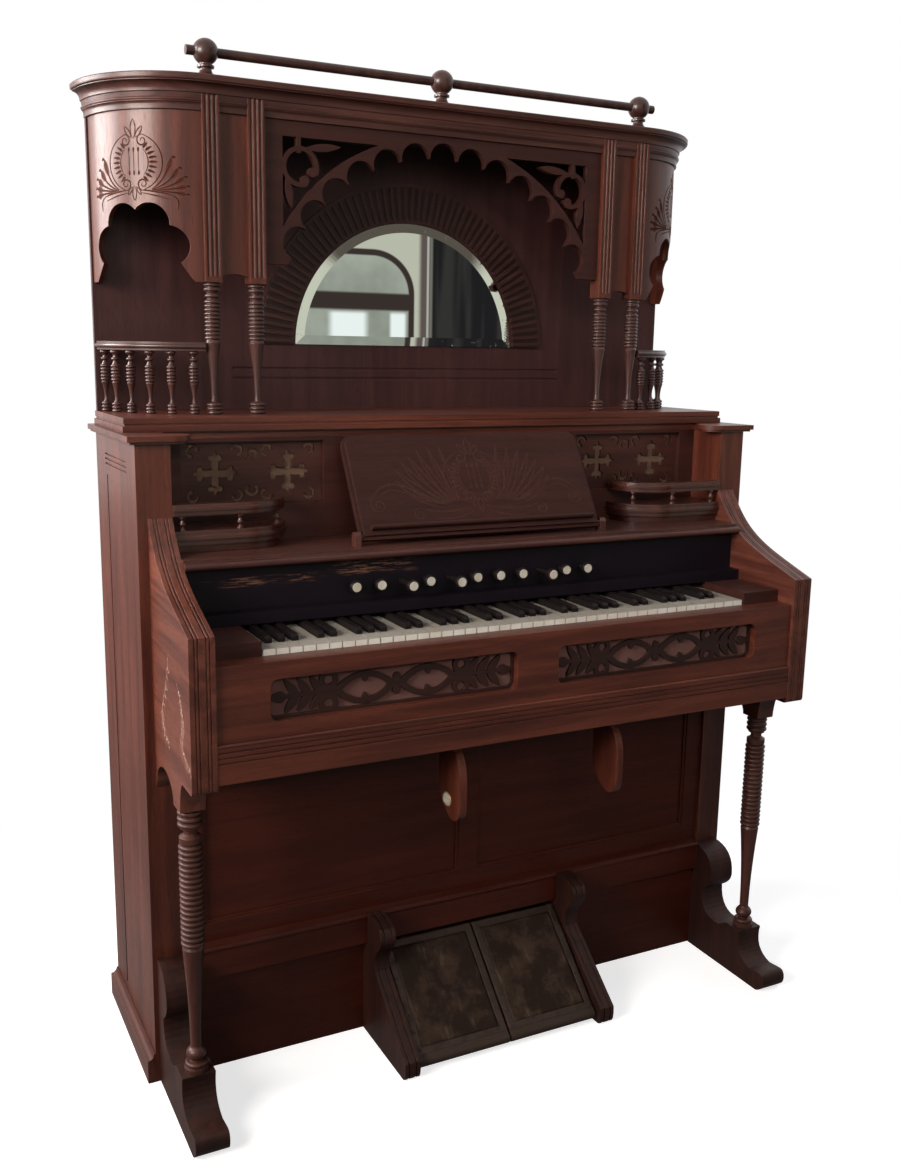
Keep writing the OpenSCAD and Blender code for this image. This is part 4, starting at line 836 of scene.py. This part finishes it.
def stretched(name, node, finish, side):
    low, high = box_mm(node)
    inner = min(abs(p.co.x) for p in solids[node].data.vertices) / MM
    x0, x1 = (-high.x, -inner) if side < 0 else (inner, high.x)
    cols, rows = CLOTH_NET
    points = []
    for u, v in ((i / cols, j / rows) for j in range(rows + 1) for i in range(cols + 1)):
        hollow = math.sin(math.pi * u) * math.sin(math.pi * v)
        sag = SAG * hollow + RIPPLE * hollow * math.sin(23 * u + 2 * v)
        points.append((x0 + (x1 - x0) * u, low.y + CLOTH_LIFT + sag, low.z + (high.z - low.z) * v))
    made = make_piece(name, points, net_faces(cols, rows), "case", finish)
    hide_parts(node)
    (x1 - x0) * MM
    return x1 - x0, high.z - low.z


SIDES = (("left", -1), ("right", 1))
for word, side in SIDES:
    slip_size = stretched(word + "_slip_cloth", "slip_cloth", pink_cloth, side)
    wall_size = stretched(word + "_wall_cloth", "upper_cloth", brown_cloth, side)
print("cloths cut to", [round(v) for v in slip_size], "and", [round(v) for v in wall_size], "mm")

# %% [markdown]
# ## Treadles
#
# The treadle boards are covered with worn lino inside a nailed iron edging. Lino is rubbed pale in
# patches, with scuffs only where it is rubbed, and grit trodden into it.

# %% Treadle wood and lino
treadle_wood = wood("treadle_wood", (0.02, 0.011, 0.0075), (0.045, 0.026, 0.017), "x", shine=0.5, coat=0.0)
dress(treadle_wood, "left_treadle", "right_treadle")

lino, bench = new_finish("worn_lino")
place = bench.place()
cloud = bench.noise(place, 16.0, 6.0, 0.65)
grit = bench.noise(place, 420.0, 2.0)
scuff = bench.noise(bench.stretch(place, (1.0, 0.2, 0.2)), 130.0, 3.0)
worn = bench.step(cloud, 0.42, 0.66)
tone = bench.mix(worn, (0.019, 0.0105, 0.0076), (0.056, 0.034, 0.0225))
tone = bench.mix(bench.step(grit, 0.5, 0.75) * 0.5, tone, (0.018, 0.014, 0.01))
tone = bench.mix(bench.step(scuff, 0.54, 0.72) * worn * 0.6, tone, (0.12, 0.088, 0.06))
relief = bench.relief(0.4, 0.0006, grit * 0.6 + cloud)
bench.surface({"Base Color": tone, "Roughness": 0.55 + grit * 0.25, "Normal": relief,
               "Specular IOR Level": 0.1})
print("treadles stained, lino ready")

# %% [markdown]
# Iron and brass share one finish: a brushed metal whose stains are rougher and less metallic than the
# bright parts between them, because rust and tarnish aren't metal any more.

# %% Iron and brass
def metal(name, bright, dull, shine):
    finish, bench = new_finish(name)
    place = bench.place()
    lines = bench.noise(bench.stretch(place, (0.1, 1.0, 1.0)), 700.0, 2.0)
    stain = bench.step(bench.noise(place, 40.0, 5.0, 0.7), 0.4, 0.68)
    relief = bench.relief(0.2, 0.0004, lines * 0.4 + stain)
    bench.surface({"Base Color": bench.mix(stain, bright, dull), "Metallic": 1 - stain * 0.5,
                   "Normal": relief, "Roughness": shine + lines * 0.15 + stain * 0.25})
    return finish


iron = metal("dull_iron", (0.062, 0.04, 0.032), (0.025, 0.0145, 0.0115), 0.42)
brass = metal("old_brass", (0.62, 0.44, 0.19), (0.2, 0.125, 0.06), 0.25)
print("iron and brass made")

# %% [markdown]
# The lino is thin in the middle, where feet push, and lies in a recess of the board. Drawing it level and
# tilting every point about the treadle's hinge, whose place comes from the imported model, keeps the sums
# simple. A skirt of faces round the net hides the gap under it.

# %% Lino for the treadles
joint_of = {joint["child"]: joint for joint in frame["joints"]}
TILT = math.radians(42)
BOARD = {"barrel": 9.0, "length": 238.0, "rim": 14.0}
LINO_NET = (28, 34)
LINO_GAP = 0.6
LINO_TOP = -0.4
LINO_FOOT = -1.9
WORN_DEPTH = 0.7
LINO_RIPPLE = 0.2


def hinge_of(node):
    return Vector(joint_of[node]["pos_m"]) / MM


def on_treadle(hinge, x, run, up):
    """A point of a tilted treadle: run along the board from its hinge, up from its top face."""
    rise = BOARD["barrel"] + up
    return (x, hinge.y + run * math.cos(TILT) - rise * math.sin(TILT),
            hinge.z + run * math.sin(TILT) + rise * math.cos(TILT))


def lay_lino(node):
    low, high = box_mm(node)
    hinge = hinge_of(node)
    edge = BOARD["rim"] + LINO_GAP
    x0, x1 = low.x + edge, high.x - edge
    r0, r1 = BOARD["barrel"] + edge, BOARD["length"] - edge
    cols, rows = LINO_NET
    wide = cols + 1

    def spot(u, v, up):
        return on_treadle(hinge, x0 + (x1 - x0) * u, r0 + (r1 - r0) * v, up)

    points = []
    for u, v in ((i / cols, j / rows) for j in range(rows + 1) for i in range(cols + 1)):
        hollow = math.sin(math.pi * u) ** 2 * math.sin(math.pi * v) ** 2
        ripple = LINO_RIPPLE * math.sin(9 * u + 4 * v) * math.sin(7 * v)
        points.append(spot(u, v, LINO_TOP - WORN_DEPTH * hollow + ripple * hollow))
    faces = net_faces(cols, rows)
    rim = list(range(wide)) + [j * wide + cols for j in range(1, rows + 1)]
    rim += [rows * wide + i for i in range(cols - 1, -1, -1)] + [j * wide for j in range(rows - 1, 0, -1)]
    start = len(points)
    points += [spot(index % wide / cols, index // wide / rows, LINO_FOOT) for index in rim]
    for k, index in enumerate(rim):
        n = (k + 1) % len(rim)
        faces.append((index, start + k, start + n, rim[n]))
    make_piece(node + "_lino", points, faces, node, lino)


print("lino is tilted", round(math.degrees(TILT)), "degrees")

# %% [markdown]
# A flat iron edging runs round the lino, mitred at its corners and held by domed nails. Its section is a
# list of insets and heights, and each gives one ring of four corners, so the mitres come by themselves.
# The nails are turned by the lathe helper and joined to the same piece.

# %% Cover and edge the treadles
EDGING_OUT = 1.0
EDGING_WIDTH = BOARD["rim"] - 2.0
EDGING_NEAR = BOARD["barrel"] + 2.0
EDGING_THICK = 0.9
EDGING_ROUND = 0.6
NAILS = 7
SECTION = [(0, 0.02), (0, EDGING_THICK * 0.7), (EDGING_ROUND, EDGING_THICK),
           (EDGING_WIDTH - EDGING_ROUND, EDGING_THICK), (EDGING_WIDTH, EDGING_THICK * 0.7),
           (EDGING_WIDTH, -0.3)]
NAIL = [(2.6, EDGING_THICK - 0.2), (2.4, EDGING_THICK + 0.5), (1.5, EDGING_THICK + 1.0),
        (0.3, EDGING_THICK + 1.2)]


def between(start, end, k):
    return start + (end - start) * k / (NAILS - 1)


def edge_treadle(node):
    low, high = box_mm(node)
    hinge = hinge_of(node)
    x0, x1 = low.x + EDGING_OUT, high.x - EDGING_OUT
    near, far = EDGING_NEAR + EDGING_OUT, BOARD["length"] - EDGING_OUT
    points = []
    for inset, up in SECTION:
        for x, run in ((x0 + inset, near + inset), (x1 - inset, near + inset),
                       (x1 - inset, far - inset), (x0 + inset, far - inset)):
            points.append(on_treadle(hinge, x, run, up))
    faces = ring_faces(4, len(SECTION))

    middle = EDGING_WIDTH / 2
    left, right, low_row, high_row = x0 + middle, x1 - middle, near + middle, far - middle
    spots = [(x, between(low_row, high_row, k)) for x in (left, right) for k in range(NAILS)]
    spots += [(between(left, right, k), run) for run in (low_row, high_row) for k in range(1, NAILS - 1)]
    for x, run in spots:
        dome, dome_faces = lathe(NAIL, lambda u, v, h: on_treadle(hinge, x + u, run + v, h), turns=12)
        start = len(points)
        points += dome
        faces += [tuple(start + k for k in face) for face in dome_faces]
    make_piece(node + "_edging", points, faces, node, iron, smooth=False)
    return len(spots)


for node in ("left_treadle", "right_treadle"):
    lay_lino(node)
    nails = edge_treadle(node)
print("two treadles covered, each edging held by", nails, "nails")

# %% [markdown]
# ## Knee lever plate
#
# The left knee lever carries an oval ivory plate in a brass rim. Both could be cut as ovals, but they are
# turned as circles and squeezed on the lever's outer face, so the lathe helper serves again. That face is
# found from the lever's own points, up to a little above the plate.

# %% Oval plate
PLATE_Z = 549.0
PLATE_Y = -237.0
BLADE_BELOW = PLATE_Z + 30
PLATE_TURNS = 48
SQUEEZE = 0.86
RIM = [(16.0, -0.4), (16.0, 0.9), (15.2, 1.5), (14.0, 1.3), (13.5, 0.6), (13.5, -0.4)]
PLATE = [(13.8, -0.4), (13.8, 0.6), (12.0, 1.1), (7.0, 1.4), (0.5, 1.5)]
lever_points = [p.co for p in solids["left_knee_lever"].data.vertices]
lever_face = min(p.x / MM for p in lever_points if p.z / MM < BLADE_BELOW)


def on_lever(u, v, h):
    return (lever_face - h, PLATE_Y + u, PLATE_Z + v)


points, faces = lathe(RIM, on_lever, PLATE_TURNS, SQUEEZE)
make_piece("knee_plate_rim", points, faces[:-2], "left_knee_lever", brass)
points, faces = lathe(PLATE, on_lever, PLATE_TURNS, SQUEEZE)
make_piece("knee_plate", points, faces, "left_knee_lever", plate_ivory)
print("oval plate at", round(PLATE_Y), round(PLATE_Z))

# %% [markdown]
# ## Incised ornament
#
# The carver drew leaves and lyres with a V-shaped gouge. A groove shows as a dark valley between two
# bright lips. Cutting it out of the solids would take very many faces, so each stroke is a narrow strip on
# the wood, whose middle dips and whose edges are turned up a hair's breadth. How far each point of a strip
# takes the valley colour stands in an attribute of the mesh, which the finish reads. There are three
# finishes: dark lines on the canopy and dulled ones on the desk, whose darker valley colour is a painted
# shade of the groove, and chalky, chipped ones on the arms, whose valley colour is chalk.

# %% Incised finish
CHALK = (0.50, 0.42, 0.38)


def cut_finish(name, lip_tone, valley_tone, chipped):
    finish, bench = new_finish(name)
    place = bench.place()
    valley = bench.node("Attribute", {}, out="Fac", attribute_name="valley")
    cloud = bench.noise(place, 30.0, 4.0, 0.65)
    chip = bench.noise(place, 240.0, 3.0)
    tone = bench.mix(bench.step(cloud, 0.35, 0.7) * 0.4, lip_tone, DEEP)
    tone = bench.mix(valley, tone, valley_tone)
    tone = bench.mix(bench.step(chip, 0.5, 0.7) * chipped, tone, CHALK)
    bench.surface({"Base Color": tone, "Roughness": 0.62 + cloud * 0.2,
                   "Normal": bench.relief(0.15, 0.0003, chip), "Specular IOR Level": 0.12})
    return finish


# Painted shade: the darker valley colour of the canopy and desk lines stands for shade in the groove.
dark_cut = cut_finish("dark_cut", (0.10, 0.03, 0.0175), (0.010, 0.004, 0.0032), chipped=0.0)
dull_cut = cut_finish("dull_cut", (0.062, 0.0255, 0.0195), (0.024, 0.0095, 0.0072), chipped=0.03)
chalky_cut = cut_finish("chalky_cut", (0.13, 0.05, 0.032), (0.16, 0.085, 0.065), chipped=0.85)
print("three finishes for cut lines")

# %% [markdown]
# A gouge that is pressed harder cuts wider, so a stroke has a width and a place where it is widest, and
# thins to a quarter at its ends. The strokes follow a flat drawing in millimetres, and a function called
# lay puts each point on the wood: wrapped round the ends of the canopy, flat on the arms, and leaning on
# the music desk.

# %% Strokes of the gouge
THIN_END = 0.25
SWELL = 0.6


def gouge(line, width=2.2, widest=0.5):
    return line, width, widest


def incise(name, strokes, lay, body, finish, lip=0.3):
    """Lay takes a flat point and a height. The section gives shares of the width, heights and darkness."""
    section = [(-0.72, -0.05, 0.0), (-0.5, lip, 0.0), (-0.3, lip * 0.5, 0.85), (0.0, 0.05, 1.0),
               (0.3, lip * 0.5, 0.85), (0.5, lip, 0.0), (0.72, -0.05, 0.0)]
    points, faces, valley = [], [], []
    for line, width, widest in strokes:
        last = len(line) - 1
        faces += net_faces(len(section) - 1, last, start=len(points))
        for k, (u, v) in enumerate(line):
            before, after = line[max(k - 1, 0)], line[min(k + 1, last)]
            du, dv = after[0] - before[0], after[1] - before[1]
            size = math.hypot(du, dv)
            pressed = min(k / last / widest, (1 - k / last) / (1 - widest))
            wide = width * (THIN_END + (1 - THIN_END) * pressed ** SWELL)
            for share, up, dark in section:
                points.append(lay(u - dv / size * share * wide, v + du / size * share * wide, up))
                valley.append(dark)
    made = make_piece(name, points, faces, body, finish)
    made.data.attributes.new("valley", "FLOAT", "POINT").data.foreach_set("value", valley)
    return len(strokes)


print("a stroke thins to", THIN_END, "of its width")

# %% [markdown]
# Carvers build their drawings from a few curves: parts of ellipses, bows between two points, curls that
# wind inwards, and leaf drops of two bows. Half a drawing is enough where the other half mirrors it. Curve
# objects could be drawn by hand instead, but formulas keep the two halves and the two sides alike.

# %% Curves of the drawings
DROP_WIDTH = 1.8
DROP_BULGE = 0.3
CURL_IN = 0.8


def arc(cx, cy, rx, ry, a0, a1, n=24):
    """Part of an ellipse, angles in degrees."""
    angles = [math.radians(a0 + (a1 - a0) * k / n) for k in range(n + 1)]
    return [(cx + rx * math.cos(a), cy + ry * math.sin(a)) for a in angles]


def bow(a, b, c, n=14):
    """A curve from a to c, pulled towards b."""
    shares = [((1 - k / n) ** 2, 2 * k / n * (1 - k / n), (k / n) ** 2) for k in range(n + 1)]
    return [tuple(i * p + j * q + k * r for p, q, r in zip(a, b, c)) for i, j, k in shares]


def curl(cx, cy, r, a0, turns, n=30):
    """A spiral that starts at radius r and angle a0 and winds in towards its middle."""
    steps = [(r * (1 - CURL_IN * k / n), math.radians(a0 + 360 * turns * k / n)) for k in range(n + 1)]
    return [(cx + reach * math.cos(a), cy + reach * math.sin(a)) for reach, a in steps]


def drop(u, v, length, lean):
    """A leaf drop: two bows from its root to its tip."""
    tip = (u + length * math.sin(lean), v + length * math.cos(lean))
    bulge = (math.cos(lean) * length * DROP_BULGE, -math.sin(lean) * length * DROP_BULGE)
    pulls = [((u + tip[0]) / 2 + s * bulge[0], (v + tip[1]) / 2 + s * bulge[1]) for s in (1, -1)]
    return [gouge(bow((u, v), pull, tip), DROP_WIDTH, 0.7) for pull in pulls]


def mirrored(strokes):
    return strokes + [([(-u, v) for u, v in line], width, widest) for line, width, widest in strokes]


print("curves ready")

# %% [markdown]
# The lyre is two crescents that end in curls, with short bars across them, three strings, and leaf drops
# above and below. On the canopy ends a fan of five plumes and a trailing leaf stand on each side.

# %% Drawing of the lyre
BARS = 9
STRING_APART = 9.5
PLUMES = [((58, -34), (70, 8)), ((66, -38), (81, -10)), ((74, -42), (91, -25)), ((74, -46), (95, -41)),
          ((76, -50), (94, -55))]


def string(u):
    """A string with a thick end above and below."""
    return [gouge(bow((u, -18), (u + 0.1, 2), (u, 22)), 1.3),
            gouge(bow((u, 17), (u, 20), (u, 26)), 3.4, 0.7),
            gouge(bow((u, -13), (u, -16), (u, -22)), 3.4, 0.7)]


half = [gouge(arc(0, 0, 54, 50, 76, -76, 44), 2.4), gouge(arc(0, 0, 28, 30, 50, -50, 30), 1.8),
        gouge(curl(17, 37, 11, 78, 1.35), 2.2, 0.3), gouge(curl(17, -37, 11, -78, -1.35), 2.2, 0.3)]
for k in range(BARS):
    a = math.radians(52 - 13 * k)
    c, s = math.cos(a), math.sin(a)
    half.append(gouge(bow((30 * c, 31 * s), (36 * c, 36 * s + 1), (45 * c, 42 * s), 6), 4.6, 0.3))
half += string(STRING_APART) + drop(4, 42, 24, 0.62) + drop(4, -42, 17, math.pi - 0.6)
lyre = mirrored(half) + string(0) + drop(0, 40, 34, 0) + drop(0, -40, 26, math.pi)

fan = []
for k, (pull, tip) in enumerate(PLUMES):
    quill = bow((33 + k, -46 - k), pull, tip, 18)
    hook = bow(tip, (tip[0] + 4, tip[1] + 3), (tip[0] + 7, tip[1] - 1), 6)
    fan += [gouge(quill, 3.4, 0.8), gouge(quill[-8:], 9.5, 0.6), gouge(hook, 5.0)]
fan += [gouge(bow((9, -47), (48, -50), (72, -57)), 3.0),
        gouge(bow((70, -57), (86, -62), (79, -82)), 3.4, 0.6),
        gouge(bow((12, -52), (44, -57), (66, -64)), 2.0)]
print(len(lyre), "strokes in a lyre and", 2 * len(fan), "beside it")

# %% [markdown]
# The ends of the canopy are quarter rounds, so the flat drawing is wrapped: what was a distance across
# becomes an angle about the axis of the round.

# %% Lyres on the canopy ends
END = {"x": 471.0, "y": 300.0, "r": 182.0, "z": 1680.0, "turn": math.radians(43.6)}


def on_end(side):
    def lay(u, v, up):
        a = END["turn"] - u / END["r"]
        r = END["r"] + up
        return (side * (END["x"] + r * math.sin(a)), END["y"] - r * math.cos(a), END["z"] + v)
    return lay


for word, side in SIDES:
    strokes = incise(word + "_lyre", lyre + mirrored(fan), on_end(side), "case", dark_cut)
print(strokes, "strokes on each end")

# %% [markdown]
# The sprays on the arms have lost their varnish: the cuts are chalky and chipped. Each spray is a smooth
# stem through a few points, with short feathers along it that grow longer towards its tip.

# %% Sprays on the arms
STEMS = [[(-166, 857), (-156, 828), (-137, 788), (-112, 745), (-121, 716), (-147, 703)],
         [(-216, 822), (-234, 807), (-244, 784), (-248, 760), (-238, 732), (-249, 715), (-280, 703)]]
BARE_STEM = 6
FEATHER_STEP = 3


def through(stops, n=7):
    """A smooth line through points, each piece bent by its neighbours."""
    line = []
    last = len(stops) - 1
    for k in range(last):
        near = [stops[min(max(k + s, 0), last)] for s in (-1, 0, 1, 2)]
        for t in (i / n for i in range(n)):
            line.append(tuple(0.5 * (2 * b + (c - a) * t + (2 * a - 5 * b + 4 * c - d) * t * t
                                     + (3 * b - a - 3 * c + d) * t ** 3) for a, b, c, d in zip(*near)))
    return line + [stops[-1]]


spray = []
for stem in STEMS:
    line = through(stem)
    spray.append(gouge(line, 3.0, 0.7))
    for k in range(BARE_STEM, len(line), FEATHER_STEP):
        y, z = line[k]
        long = 6 + 12 * k / len(line)
        spray.append(gouge(bow((y, z), (y - long * 0.8, z - 2), (y - long, z - long), 6), 3.0, 0.6))
        spray.append(gouge(bow((y, z), (y + long * 0.5, z - 4), (y + long * 0.4, z - long), 6), 2.6, 0.6))
arm_face = abs(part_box("left_arm")[0].x) / MM
for word, side in SIDES:
    incise(word + "_arm_spray", spray, lambda y, z, up: (side * (arm_face + up), y, z), "case", chalky_cut)
print(2 * len(spray), "strokes on the arms")

# %% [markdown]
# The music desk has the same lyre, larger and shallower, between rising plumes and long scrolls. Dust and
# wear have dulled it, so that it shows only where the light grazes the lips. The desk leans back from its
# hinge, so a point of the drawing goes up the slope and then half the desk's thickness out of it.

# %% Lyre on the music desk
LEAN = math.radians(31)
DESK_HALF_T = 8.0
DESK_LIP = 0.2
LYRE_WIDE = 1.24
LYRE_TALL = 1.14
LYRE_UP = 108
PLUME_TIPS = [(64, 177), (89, 172), (113, 165), (134, 156), (151, 143), (164, 125), (171, 104)]
desk_hinge = hinge_of("music_desk")


def on_desk(u, v, up):
    out = DESK_HALF_T + up
    return (u, desk_hinge.y + v * math.sin(LEAN) - out * math.cos(LEAN),
            desk_hinge.z + v * math.cos(LEAN) + out * math.sin(LEAN))


half = []
for k, (u, v) in enumerate(PLUME_TIPS):
    root = (46 + 5 * k, 58 - k)
    half.append(gouge(bow(root, (u * 0.72, v * 0.5 + 22), (u, v), 20), 2.4, 0.8))
    half.append(gouge(bow(root, (u * 0.82 + 6, v * 0.5 + 12), (u, v), 20), 1.8, 0.8))
half += [gouge(bow((74, 52), (116, 62), (146, 88), 18), 2.2),
         gouge(bow((144, 86), (196, 116), (228, 68), 20), 2.4),
         gouge(bow((228, 70), (236, 44), (214, 44)), 2.2),
         gouge(curl(214, 56, 12, -90, -1.2), 2.0, 0.3),
         gouge(bow((82, 46), (124, 54), (150, 76), 18), 1.8),
         gouge(bow((150, 76), (190, 98), (212, 70), 18), 1.8),
         gouge(bow((22, 44), (84, 30), (128, 46), 18), 2.2),
         gouge(curl(134, 34, 13, 90, -1.3), 2.0, 0.3),
         gouge(bow((18, 36), (62, 16), (104, 24), 16), 1.8)]
large_lyre = [([(u * LYRE_WIDE, v * LYRE_TALL + LYRE_UP) for u, v in line], width, widest)
              for line, width, widest in lyre]
strokes = incise("desk_lyre", large_lyre + mirrored(half), on_desk, "music_desk", dull_cut, DESK_LIP)
print(strokes, "strokes on the music desk")
